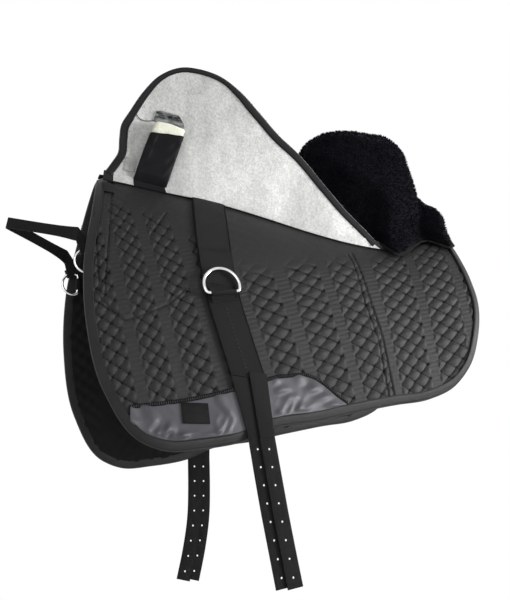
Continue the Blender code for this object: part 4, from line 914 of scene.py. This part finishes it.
def make_web():
    offsets = np.sort(np.concatenate([np.linspace(-WEB_END, WEB_END, 220), [0.0]]))
    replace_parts(flat_strip("girth_web_weave", offsets, WEB_SHOWN, WEB_BASE, WEB_TOP), "girth_web")
    for label, side in SIDES:
        flat_strip(f"{label}_web_lap", np.linspace(*WEB_LAP, 24), WEB_SHOWN - 0.003, WEB_TOP - 0.0003,
                   WEB_TOP + 0.0009, side)
        for index, down in enumerate(LAP_SEAMS):
            sewn_across(f"{label}_lap_stitches_{index}", float(web_x(down)), down, WEB_SHOWN * 0.44, side,
                        WEB_TOP + 0.0011)
        down = np.linspace(*WEB_SEAM, 30)
        add_stitch_line(f"{label}_web_stitches", np.column_stack([web_x(down), down]), side, WEB_TOP + 0.0002,
                        *WEB_STITCH, "thread_grey")
        # Unbroken dark lines along both edges of the web: the edge sewing, drawn dark and wide enough to paint the
        # shade there too.
        down = np.linspace(*WEB_EDGES, 60)
        for index, share in enumerate((-0.48, 0.48)):
            add_stitch_line(f"{label}_web_edge_{index}", np.column_stack([web_x(down) + WEB_SHOWN * share, down]),
                            side, WEB_TOP - 0.0002, *WEB_EDGE_STITCH_AND_SHADE)
        billets = [f"{label}_front_billet", f"{label}_rear_billet"]
        for billet in billets:
            root = f"{billet}_root"
            softened(f"{root}_weave", root, "webbing", "pad", 0.0005, change=widened_root(root))
        for billet in billets:
            softened(f"{billet}_weave", billet, "webbing", billet, 0.0004, change=raised_top(billet, f"{billet}_root"))
        for keeper in (f"{label}_ring_keeper", f"{label}_front_keeper"):
            softened(f"{keeper}_weave", keeper, "webbing", "pad", 0.0003, 1)
        for index, out in enumerate((-1, 1)):
            sewn_across(f"{label}_keeper_stitches_{index}", RING_X, RING_DEPTH + out * KEEPER_SEAM, KEEPER_HALF, side,
                        WEB_TOP + 0.0018)


def make_d(name, centre, radius, drop, wire, along, up, bend, sides):
    """A wire D: an arc closed by a straight bar, with rounded corners."""
    start = math.acos(drop / radius)
    turns = np.linspace(start, 2 * math.pi - start, bend)
    arc = np.column_stack([np.sin(turns) * radius, -np.cos(turns) * radius])
    path = np.concatenate([arc, np.linspace(arc[-1], arc[0], 14)[1:-1]])
    for _ in range(4):
        path = path * 0.5 + (np.roll(path, 1, 0) + np.roll(path, -1, 0)) * 0.25
    normal = np.cross(along, up)
    turns = np.linspace(0, 2 * math.pi, sides, endpoint=False)
    rings = []
    for k, (a, b) in enumerate(path):
        ahead = unit(path[(k + 1) % len(path)] - path[k - 1])
        side = along * ahead[1] - up * ahead[0]
        rings.append([centre + along * a + up * b + (side * math.cos(t) + normal * math.sin(t)) * wire for t in turns])
    return sweep(name, rings, "chrome", None, closed=True)


def unit(v):
    return v / np.linalg.norm(v)


STRAP_START, STRAP_FADE, STRAP_HALF, STRAP_DRAW = -0.0150, 0.020, 0.0665, 0.28
STRAP_LINE = ((-0.1245, -0.0740), (-0.1125, -0.0770), (-0.0795, -0.0850), (-0.0415, -0.0945), (-0.0195, -0.1015))


def narrowed_strap(spot):
    """Draws the grab strap's web in towards its middle, as if pulled tight."""
    back = spot.x - FRONT_RING[0]
    if back > STRAP_START or abs(spot.y) > STRAP_HALF:
        return spot
    places, heights = np.array(STRAP_LINE).T
    middle = float(np.interp(back, places, heights))
    share = float(smooth((STRAP_START - back) / STRAP_FADE))
    return Vector((spot.x, spot.y, middle + (spot.z - middle) * (1 - STRAP_DRAW * share)))


def make_rings():
    level = np.array([1.0, 0.0, 0.0])
    for label, side in SIDES:
        spot = on_pad(RING_X, RING_DEPTH, side, WEB_TOP)
        out = unit(on_pad(RING_X, RING_DEPTH, side, WEB_TOP + 0.002) - spot)
        down = unit(on_pad(RING_X, RING_DEPTH + WEB_WIDTH, side, WEB_TOP) - spot)
        down = unit(down - out * (down @ out))
        lean = math.atan2(float(web_x(RING_DEPTH + WEB_WIDTH) - web_x(RING_DEPTH - WEB_WIDTH)), 2 * WEB_WIDTH)
        along = unit(level * math.cos(lean) - down * math.sin(lean))
        down = unit(down * math.cos(lean) + level * math.sin(lean))
        up = unit(out * 0.0012 / RING_RADIUS - down)
        along = unit(along - up * (along @ up))
        ring = make_d(f"{label}_girth_ring", spot + out * RING_LIFT + up * RING_DROP, RING_RADIUS, RING_DROP,
                      RING_WIRE, along, up, 64, 14)
        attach(ring, f"{label}_d_ring")
        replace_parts(ring, f"{label}_d_ring")
        ring = make_d(f"{label}_strap_ring", np.array([FRONT_RING[0], side * FRONT_RING[1], FRONT_RING[2]]),
                      FRONT_RADIUS, FRONT_DROP, FRONT_WIRE, np.array([0.0, 0.0, 1.0]), -level, 48, 12)
        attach(ring, f"{label}_front_ring")
        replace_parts(ring, f"{label}_front_ring")
    softened("grab_strap_weave", "grab_strap", "webbing", "grab_strap", 0.0006, 1, change=narrowed_strap)


# Trim: wear patches, the bare label, tapes

PATCH_TOP = ((-0.158, 0.446), (-0.140, 0.442), (-0.103, 0.434), (-0.050, 0.420), (-0.011, 0.407), (0.040, 0.386),
             (0.078, 0.366), (0.106, 0.357), (0.133, 0.350), (0.158, 0.357), (0.184, 0.374), (0.200, 0.383))
LABEL_CENTRE, LABEL_SIZE, LABEL_TURN = (-0.058, 0.449), (0.043, 0.033), math.radians(-4)


def satin_patch():
    """Places along and down of the wear patch's cloth, its creased lift and its upper edge."""
    border = edge_line(inset(OUTLINE, WRAP), 600)[0]
    low_part = border[border[:, 1] > 0.30]
    low_part = low_part[np.argsort(low_part[:, 0])]
    x = np.linspace(PATCH_TOP[0][0], PATCH_TOP[-1][0], 150)
    top = curve(PATCH_TOP, x)[:, 0]
    tall = np.maximum(np.interp(x, low_part[:, 0], low_part[:, 1]) - 0.0145, top + 0.0012) - top
    share = np.linspace(0, 1, 60)[:, None]
    down = top + tall * share
    across = np.broadcast_to(x, down.shape)
    crease = (np.sin(across * 95 + np.sin(down * 61 + 1.3) * 2.1 + down * 40) ** 2
              * np.sin(across * 41 - down * 55 + 0.7) ** 2
              + 0.6 * np.abs(np.sin(across * 150 + down * 120 + np.sin(across * 60) * 2)) ** 3
              * smooth(share * 1.6 - 0.6))
    calm = np.minimum(smooth(share / 0.14), smooth((1 - share) / 0.10)) * smooth(tall / 0.03)
    calm = calm * smooth((np.abs(across - web_x(np.full(down.shape, 0.37)) - 0.010) - 0.030) / 0.012)
    off_label = np.maximum(np.abs(across - LABEL_CENTRE[0]), np.abs(down - LABEL_CENTRE[1]))
    lift = TRIM_BASE + 0.0006 + 0.0034 * crease * calm * smooth((off_label - 0.026) / 0.010)
    return across, down, lift, np.column_stack([x, top])


def make_label():
    softened("bare_label", "blank_label", "label", "pad", 0.0003)
    c, s = math.cos(LABEL_TURN), math.sin(LABEL_TURN)
    half = np.array(LABEL_SIZE) / 2 - 0.0018
    corners = np.array([(-1, -1), (1, -1), (1, 1), (-1, 1), (-1, -1)]) * half
    a, b = (np.interp(np.arange(29) / 7, np.arange(5), corners[:, k]) for k in (0, 1))
    line = np.column_stack([LABEL_CENTRE[0] + a * c - b * s, LABEL_CENTRE[1] + b * c + a * s])
    add_stitch_line("label_stitches", line, NEAR, WEB_BASE + 0.0010, *LABEL_STITCH)


def make_trim():
    across, down, lift, rim = satin_patch()
    overlock = np.array([(-0.0004, 0.0), (0.0008, 0.0008), (0.0030, 0.0011), (0.0052, 0.0008), (0.0064, 0.0)])
    rim_x, rim_down = np.broadcast_to(rim[:, 0], (5, len(rim))), rim[:, 1] + overlock[:, :1]
    for label, side in SIDES:
        patch = pad_shell(f"{label}_satin_patch", across, down, side, lift - 0.0006, lift, "satin")
        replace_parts(patch, f"{label}_wear_patch")
        cut_sheet(np.dstack([across, down]), on_pad(across, down, side, lift))
        pad_shell(f"{label}_patch_overlock", rim_x, rim_down, side, TRIM_BASE + 0.0002,
                  TRIM_BASE + 0.0009 + overlock[:, 1:], "thread")
        add_stitch_line(f"{label}_patch_zigzag", rim + (0, 0.0030), side, TRIM_BASE + 0.0022, *ZIGZAG, "thread_grey",
                        ZIGZAG_SLANT)
        hook = softened(f"{label}_hook_tape_pile", f"{label}_hook_tape", "hook", "pad", 0.0003)
    make_label()
    softened("spine_cover", "spine_tape", "binding", "pad", 0.0002)


# Lambskin wings

HIDE = 0.0020
TAPE_NARROWING, NARROW_MIDDLE, NARROW_HALF, NARROW_FROM = 0.42, 0.125, 0.045, 0.12
HINGE_FRONT, HINGE_REAR = (-0.196, 0.014), (0.340, 0.050)
HINGE_FRONT_LIFT, HINGE_REAR_LIFT = CLOTH_TOP + 0.010, CLOTH_TOP + 0.006
WING_LEAN, WING_CURL, WING_REACH = math.radians(4), math.radians(35), 0.230
WING_LOWER, WING_ROOT, ROOT_BOW = math.radians(122), 0.003, 0.004
ROOT_BOW_SHARES = ((0.0, -1.2), (0.2, 0.2), (0.4, 0.4), (0.6, -0.4), (0.8, -1.2), (1.0, -0.6))
WING_OUTLINE = ((0.005, WING_ROOT), (0.0145, 0.027), (0.0205, 0.045), (0.0175, 0.072), (0.0155, 0.0955),
                (0.025, 0.126), (0.040, 0.165), (0.0605, 0.199), (0.096, 0.2243), (0.128, 0.230),
                (0.166, 0.228), (0.206, 0.2136), (0.252, 0.186), (0.2985, 0.1557), (0.344, 0.132),
                (0.407, 0.087), (0.4585, 0.049), (0.494, 0.026), (0.525, WING_ROOT))
WING_CORNERS, WING_ROWS, WING_COLUMNS = (6, 17), 90, 150
POCKET_ALONG, POCKET_WIDTH, POCKET_BOTTOM, POCKET_MOUTH = 0.097, 0.060, 0.012, 0.107


class Wing:
    """Place of one lambskin wing: a curled sheet standing on its hinge line."""

    def __init__(self, side):
        self.front = on_pad(*HINGE_FRONT, side, HINGE_FRONT_LIFT)
        rear = on_pad(*HINGE_REAR, side, HINGE_REAR_LIFT)
        self.hinge_length = np.linalg.norm(rear - self.front)
        self.axis = unit(rear - self.front)
        outwards = np.array([0.0, side, 0.0])
        self.out = unit(outwards - self.axis * (outwards @ self.axis))
        self.up = unit(np.cross(self.axis, self.out))
        self.up = self.up if self.up[2] > 0 else -self.up
        if side == FAR:
            turn = np.array(Matrix.Rotation(WING_LOWER, 3, Vector(np.cross(self.up, self.out))))
            self.out, self.up = turn @ self.out, turn @ self.up

    def place(self, along, reach, lift):
        along, reach, lift = (np.asarray(a, float)[..., None] for a in np.broadcast_arrays(along, reach, lift))
        radius = WING_REACH / WING_CURL
        angle = reach / radius - WING_LEAN
        out = radius * (math.cos(WING_LEAN) - np.cos(angle))
        up = radius * (np.sin(angle) + math.sin(WING_LEAN))
        spot = self.front + self.axis * along + self.out * out + self.up * up
        return spot + (self.out * np.cos(angle) - self.up * np.sin(angle)) * lift

    def at(self, spots, lift):
        return self.place(spots[..., 0], spots[..., 1], lift)


def make_hide(label, wing, body, outline):
    cells = coons(outline, WING_CORNERS, WING_ROWS, WING_COLUMNS)
    bow = ROOT_BOW * curve(ROOT_BOW_SHARES, np.linspace(0, 1, WING_COLUMNS + 1))[:, 0]
    bow[[0, -1]] = 0.0
    cells[..., 1] += bow * (1 - np.linspace(0, 1, WING_ROWS + 1)[:, None]) ** 2
    x, reach = cells[..., 0], cells[..., 1]
    off_pocket = np.maximum(np.abs(x - POCKET_ALONG) - 0.032, np.maximum(0.008 - reach, reach - 0.145))
    calm = (smooth((line_distance(cells, edge_line(outline, 260)[0]) - 0.010) / 0.02)
            * smooth((reach - 0.012) / 0.02) * smooth(off_pocket / 0.010))
    wobble = (np.sin(x * 38 + reach * 21) * 0.0005 + np.sin(x * 71 - reach * 47 + 1.1) * 0.0004) * calm
    hide = shell(f"{label}_wing_skin", wing.at(cells, wobble - HIDE), wing.at(cells, wobble), "suede", body)
    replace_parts(hide, f"{label}_wing_hide")
    paint(hide, ["fleece"], np.repeat([0, 1], WING_ROWS * WING_COLUMNS))
    cut_sheet(cells, wing.at(cells, wobble))


def make_wing_edge(label, wing, body, points, out):
    section = tape_section(lambda distance: 0.0, 0.0009, -HIDE - 0.0009, 0.0013)
    past = np.maximum(np.abs(points[:, :1] - NARROW_MIDDLE) - NARROW_HALF, 0)
    narrow = 1 - TAPE_NARROWING * bell(past / NARROW_HALF) * (points[:, 1:] > NARROW_FROM)
    reach_in = np.where(section[:, 0] > 0, section[:, 0] * narrow, section[:, 0])
    rings = wing.at(points[:, None] - out[:, None] * reach_in[..., None], section[:, 1])
    tape = sweep(f"{label}_wing_edge_tape", rings, "wing_edge", body)
    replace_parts(tape, f"{label}_wing_binding")
    line = points - out * TAPE_SEAM * narrow
    lay_threads(f"{label}_wing_stitches", wing.at, line[4:-4], line[5:-3], 0.0026, 0.0028, 0.0008, body=body)


def make_wing(label, side):
    wing, body = Wing(side), f"{label}_wing"
    outline = inset(WING_OUTLINE, WRAP)
    make_hide(label, wing, body, outline)
    points, out = edge_line(outline, 320)
    make_wing_edge(label, wing, body, points, out)
    pile = remeshed(f"{label}_wing_fleece", [f"{label}_wing_pile"], body, 0.0035, 8)
    away = wing.place(0.2, 0.1, -1.0) - wing.place(0.2, 0.1, 0.0)
    grow_wool(f"{label}_wing_wool", pile, WING_LOCKS, lambda way: (way @ away) > -0.3, (11 + side, 21 + side), body)
    fringe(label, wing, points, out, body)
    loop = softened(f"{label}_loop_tape_pile", f"{label}_loop_tape", "tab", body, 0.0003)
    make_pouch(label, wing, body)
    make_block(label, wing)
    make_flap(label, wing)
    make_elastic(label, wing, body)
    make_fold(label, side, wing)


# The wing's pocket, its foam block and its flap

POCKET_FOOT, POCKET_LIP, POCKET_CLOTH = 0.003, 0.1005, 0.0012
BLOCK_BASE, BLOCK_DEPTH, BLOCK_FOOT_DEPTH, BLOCK_HEAD = 0.0023, 0.020, 0.006, 0.117
POUCH_FOLD = -0.46
ELASTIC_LINE = ((0.0, 0.0345, 0.1262), (0.35, 0.0440, 0.1165), (0.7, 0.0575, 0.1155), (1.0, 0.0700, 0.1205))
FLAP_FOOT, FLAP_TIP = 0.1186, 0.1405


def block_depth(reach):
    share = np.clip((reach - POCKET_BOTTOM) / (POCKET_MOUTH - POCKET_BOTTOM), 0.0, 1.0)
    return BLOCK_FOOT_DEPTH + (BLOCK_DEPTH - BLOCK_FOOT_DEPTH) * share


def pocket_lean(reach):
    """The pouch is sewn on aslant: its foot lies nearer the front than its mouth."""
    return -0.011 * (0.100 - reach) / 0.097


def box_round(turn, power):
    """A box with rounded corners: places across and up at turns round it, each from -1 to 1."""
    return tuple(np.sign(f(turn)) * np.abs(f(turn)) ** power for f in (np.cos, np.sin))


def make_pouch(label, wing, body):
    reach = np.concatenate([np.linspace(POCKET_FOOT, 0.020, 12), np.linspace(0.022, POCKET_LIP, 34)])[:, None]
    across, rise = box_round(np.linspace(math.pi, 0, 57)[None], 2 / 7)
    full = smooth((reach - POCKET_FOOT) / 0.016 + 0.08) ** 0.6
    cover = (BLOCK_BASE + 0.0022 + block_depth(reach)) * full
    fold = -0.0042 * bell((across - POUCH_FOLD) / 0.06) - 0.0022 * smooth((POUCH_FOLD - across) / 0.06)
    creases = (0.0010 * np.sin(across * 5 + reach * 130 + 0.6) * np.sin(reach * 75 - across * 2.2)
               + 0.0007 * np.sin(across * 11 - reach * 190))
    slant = 0.008 * (across * 0.5 - 0.5) * smooth((reach - 0.06) / 0.04)

    def face(thick):
        lift = 0.0004 + rise * (cover - thick) + rise * (fold * (cover > 0.014) + creases * full) * 0.85
        along = POCKET_ALONG + pocket_lean(reach) + across * (POCKET_WIDTH / 2 - thick)
        return wing.place(along, reach + slant, lift)
    pouch = shell(f"{label}_pocket_pouch", face(POCKET_CLOTH), face(0.0), "pocket", body)
    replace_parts(pouch, f"{label}_block_pocket")


def make_block(label, wing):
    across, rise = box_round(np.linspace(0, 2 * math.pi, 49)[:-1], 2 / 5)
    under_fold = 0.0014 + 0.0046 * bell((across - POUCH_FOLD) / 0.10) + 0.0026 * smooth((-0.36 - across) / 0.12)
    rings = []
    for reach in np.concatenate([np.linspace(0.0145, 0.111, 20), [0.1135, 0.1155, 0.1166, BLOCK_HEAD]]):
        squeeze = 1.0 - 0.10 * smooth((reach - 0.112) / (BLOCK_HEAD - 0.112)) ** 2
        hollow = np.maximum(rise, 0) * smooth((0.0985 - reach) / 0.012) * under_fold
        drop = 0.0040 * smooth((across + 0.1) / 1.1) * smooth((reach - 0.105) / 0.012)
        rest = 0.0016 + 0.0009 * smooth((reach - 0.092) / 0.012)
        depth = block_depth(reach) - 0.0004 - rest
        rings.append(wing.place(POCKET_ALONG + pocket_lean(reach) + across * (POCKET_WIDTH / 2 - 0.0024) * squeeze,
                                reach + 0.0015 * across * smooth((reach - 0.08) / 0.03) - drop,
                                BLOCK_BASE + rest + depth * (0.5 + rise * 0.5 * squeeze) - hollow))
    block = sweep(f"{label}_foam_block", rings, "foam", f"{label}_thigh_block")
    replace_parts(block, f"{label}_thigh_block")


def make_flap(label, wing):
    u, v = np.linspace(0, 1, 26)[None], np.linspace(0, 1, 16)[:, None]
    tip = FLAP_TIP - 0.0115 * smooth((u - 0.72) / 0.28) - 0.0030 * smooth((0.18 - u) / 0.18)
    along = POCKET_ALONG + (u - 0.5) * (POCKET_WIDTH - 0.004) * (1 - 0.05 * v)
    reach = FLAP_FOOT + (tip - FLAP_FOOT) * v
    wave = 0.0008 * np.abs(np.sin(u * 9 + v * 2.5 + 0.4)) * v + 0.0005 * np.abs(np.sin(v * 8 - u * 3)) * v
    flap = shell(f"{label}_flap_cloth", wing.place(along, reach, 0.0008 + wave),
                 wing.place(along, reach, 0.0018 + wave), "mesh", f"{label}_pocket_flap")
    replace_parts(flap, f"{label}_pocket_flap")


def make_elastic(label, wing, body):
    """The band at the pocket's mouth."""
    line = curve(ELASTIC_LINE, np.linspace(0, 1, 40))
    turn = np.linspace(0, 2 * math.pi, 9)[:-1]
    ahead = np.gradient(line, axis=0)
    ahead /= np.linalg.norm(ahead, axis=1)[:, None]
    rings = [wing.place(spot[0] - way[1] * 0.0008 * np.cos(turn), spot[1] + way[0] * 0.0008 * np.cos(turn),
                        0.0010 + 0.0007 * np.sin(turn)) for spot, way in zip(line, ahead)]
    sweep(f"{label}_pocket_elastic", rings, "elastic", body)


# Folds of hide that hinge the wings, and the wool

FOLD_ROWS, FOLD_COLUMNS, FOLD_ALONG, FOLD_SHEET = 13, 119, (0.0038, 0.5255), 0.0012
FOLD_ENDS, FOLD_POUCH = (0.0195, 0.513), (0.056, 0.114)
# Locks of wool: count, length and radius
WING_LOCKS, FRINGE_LOCKS = (5200, 0.0095, 0.0011), (1500, 0.0070, 0.0012)
SEAT_LOCKS, UNDER_LOCKS = (22000, 0.0042, 0.0008), (5200, 0.0110, 0.0016)
CANTLE_LEAN, CANTLE_DROP, TAIL_DROP = 0.010, 0.003, 0.22


def make_fold(label, side, wing):
    """The strip of hide from the pad up to the wing's root, dark where the edge tape and the pouch cross it."""
    along = np.linspace(*FOLD_ALONG, FOLD_COLUMNS + 1)
    share = np.clip(along / wing.hinge_length, 0, 1)
    x = HINGE_FRONT[0] + (HINGE_REAR[0] - HINGE_FRONT[0]) * along / along[-1]
    down = HINGE_FRONT[1] + (HINGE_REAR[1] - HINGE_FRONT[1]) * share + 0.003
    foot = on_pad(x, down, side, CLOTH_TOP + 0.0014)
    foot_way = on_pad(x, down, side, CLOTH_TOP + 1.0014) - foot
    root = wing.place(along, 0.0062, 0.0008)
    root_way = wing.place(along, 0.0062, 1.0008) - root
    steps = np.linspace(0, 1, FOLD_ROWS + 1)[:, None, None]
    line = (1 - steps) ** 2 * foot + 2 * steps * (1 - steps) * wing.place(along, -0.0005, 0.0) + steps**2 * root
    way = foot_way * (1 - steps) + root_way * steps
    way /= np.linalg.norm(way, axis=-1)[..., None]
    made = shell(f"{label}_wing_root_hide", line - way * FOLD_SHEET / 2, line + way * FOLD_SHEET / 2,
                 "suede", None)
    spots = (along[1:] + along[:-1]) / 2
    shown = np.where((spots < FOLD_ENDS[0]) | (spots > FOLD_ENDS[1]), 1, 0)
    shown[(spots > FOLD_POUCH[0]) & (spots < FOLD_POUCH[1])] = 2
    # The inner face and the walls take the edge tape's dark look; on the walls it is painted shade, a thin dark line
    # where the fold meets the cloth.
    rest = np.ones(FOLD_ROWS * FOLD_COLUMNS + 2 * (FOLD_ROWS + FOLD_COLUMNS), int)
    paint(made, ["wing_edge", "pocket"], np.concatenate([np.tile(shown, FOLD_ROWS), rest]))
    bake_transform(made)


def fringe(label, wing, points, out, body):
    """Wool that shows past the wing's edge tape."""
    draw = np.random.default_rng(5)
    count, length, radius = FRINGE_LOCKS
    index = draw.integers(0, len(points), count)
    spot = points[index] - out[index] * draw.uniform(0.006, 0.017, count)[:, None]
    root = wing.at(spot, -HIDE - 0.0015)
    ways = wing.at(spot + out[index] * 0.01, -HIDE - 0.0015 - 0.0075) - root
    ways /= np.linalg.norm(ways, axis=1)[:, None]
    length = length + 0.0045 * smooth((points[index, 0] - 0.20) / 0.06) * smooth((0.40 - points[index, 0]) / 0.08)
    wool(f"{label}_wing_fringe", root, ways, length[:, None], radius, 31, body, 0.2)


def above_pad(spots):
    """Height of points over the pad's outer face."""
    base = np.zeros(len(spots))
    down = np.linspace(0, 0.30, 120)
    edges = np.linspace(spots[:, 0].min() - 0.001, spots[:, 0].max() + 0.001, 90)
    part = np.digitize(spots[:, 0], edges)
    for index in np.unique(part):
        chosen = part == index
        line = on_pad(float((edges[index - 1] + edges[index]) / 2), down, 1.0, CLOTH_TOP)
        base[chosen] = np.interp(np.abs(spots[chosen, 1]), line[:, 1], line[:, 2])
    return spots[:, 2] - base


def settle_cantle(made):
    """Draws the seat's fleece in over its rear, as the cantle leans forwards."""
    spots = triples(made.data.vertices, "co")
    height = above_pad(spots)
    lean = smooth((height - 0.012) / 0.035) * smooth((spots[:, 0] - 0.22) / 0.10)
    tail = smooth((spots[:, 0] - 0.385) / 0.04) * smooth((height - 0.004) / 0.010)
    spots[:, 0] -= CANTLE_LEAN * lean
    spots[:, 2] -= CANTLE_DROP * lean + TAIL_DROP * np.maximum(height, 0) * tail
    made.data.vertices.foreach_set("co", spots.ravel())
    made.data.update()


def make_seat():
    pile = remeshed("seat_fleece", ["seat_pile", "cantle_foam"], "pad", 0.004, 10)
    settle_cantle(pile)
    grow_wool("seat_wool", pile, SEAT_LOCKS, lambda way: way[:, 2] > -0.75, (3, 4), "pad", 0.15)
    softened("seat_skin", "seat_hide", "suede_edge", "pad", 0.0003)
    for label, side in SIDES:
        under = remeshed(f"{label}_under_fleece", [f"{label}_under_pile"], "pad", 0.005, 4)
        grow_wool(f"{label}_under_wool", under, UNDER_LOCKS, lambda way: way[:, 1] * side < 0.35,
                  (17 + side, 19 + side), "pad")


# Floor, light and camera

CAMERA_AT = (-0.428, -1.483, -0.590)
CAMERA_FORWARD, CAMERA_UP = (0.322, 0.911, 0.259), (-0.086, -0.244, 0.966)
SENSOR_HEIGHT, LENS = 36.0, 54.0
FLOOR_Z = -1.40
LAMPS = (("key", (1.45, -0.85, 0.0), 0.6, 40.0), ("fill", (-1.4, -2.6, 0.1), 1.8, 26.0),
         ("rim", (0.6, 2.2, 1.9), 1.4, 40.0))
LAMPS_AIM = (0.1, 0.0, -0.15)


def seen_directly(tree):
    """1 for rays from the camera, from mirrors and through glass."""
    path = add_node(tree, "LightPath", {})
    found = path["Is Camera Ray"]
    for kind in ("Is Glossy Ray", "Is Transmission Ray"):
        found = operate(tree, "Math", "MAXIMUM", {0: found, 1: path[kind]})
    return found


def make_floor():
    """A pale matt floor that keeps the pad's shadow near it and is seen as white far from it."""
    bpy.ops.mesh.primitive_plane_add(size=40, location=(0, 0, FLOOR_Z))
    floor = bpy.context.object
    floor.name = "floor"
    made = bpy.data.materials.new("floor_white")
    made.use_nodes = True
    tree = made.node_tree
    pale = fill(tree, tree.nodes["Principled BSDF"], {"Base Color": (0.86, 0.86, 0.86, 1), "Roughness": 0.9})
    place = add_node(tree, "TexCoord", {})["Object"]
    fade = add_node(tree, "MapRange", {"From Min": 0.8, "From Max": 3.5, "To Min": 0.72, "To Max": 1.0,
                                       "Value": operate(tree, "VectorMath", "LENGTH", {0: place})})["Result"]
    share = operate(tree, "Math", "MULTIPLY", {0: seen_directly(tree), 1: fade})
    mix = add_node(tree, "MixShader", {"Fac": share, 1: pale["BSDF"], 2: add_node(tree, "Emission", {})["Emission"]})
    fill(tree, tree.nodes["Material Output"], {"Surface": mix["Shader"]})
    floor.data.materials.append(made)


def make_world():
    bpy.context.scene.world = world = bpy.data.worlds.new("studio")
    world.use_nodes = True
    tree = world.node_tree
    back = fill(tree, tree.nodes["Background"], {"Color": (1, 1, 1, 1), "Strength": 0.34})["Background"]
    seen = add_node(tree, "Background", {"Color": (1, 1, 1, 1)})["Background"]
    mix = add_node(tree, "MixShader", {"Fac": seen_directly(tree), 1: back, 2: seen})["Shader"]
    fill(tree, tree.nodes["World Output"], {"Surface": mix})


def make_lamps():
    for name, place, size, power in LAMPS:
        lamp = bpy.data.lights.new(name, "AREA")
        lamp.size, lamp.energy = size, power
        made = linked(name, lamp)
        made.location = place
        made.rotation_euler = (Vector(LAMPS_AIM) - Vector(place)).to_track_quat("-Z", "Y").to_euler()


def make_camera():
    data = bpy.data.cameras.new("camera")
    data.sensor_fit, data.sensor_height, data.lens = "VERTICAL", SENSOR_HEIGHT, LENS
    made = linked("camera", data)
    forward, up = Vector(CAMERA_FORWARD).normalized(), Vector(CAMERA_UP).normalized()
    right = forward.cross(up).normalized()
    turn = Matrix((right, right.cross(forward).normalized(), -forward)).transposed()
    made.matrix_world = Matrix.Translation(CAMERA_AT) @ turn.to_4x4()
    bpy.context.scene.camera = made


make_camera()
make_floor()
make_world()
make_lamps()
make_panels()
make_web()
make_rings()
make_trim()
for wing_label, wing_side in SIDES:
    make_wing(wing_label, wing_side)
make_seat()
bpy.context.scene.view_settings.view_transform = "Standard"
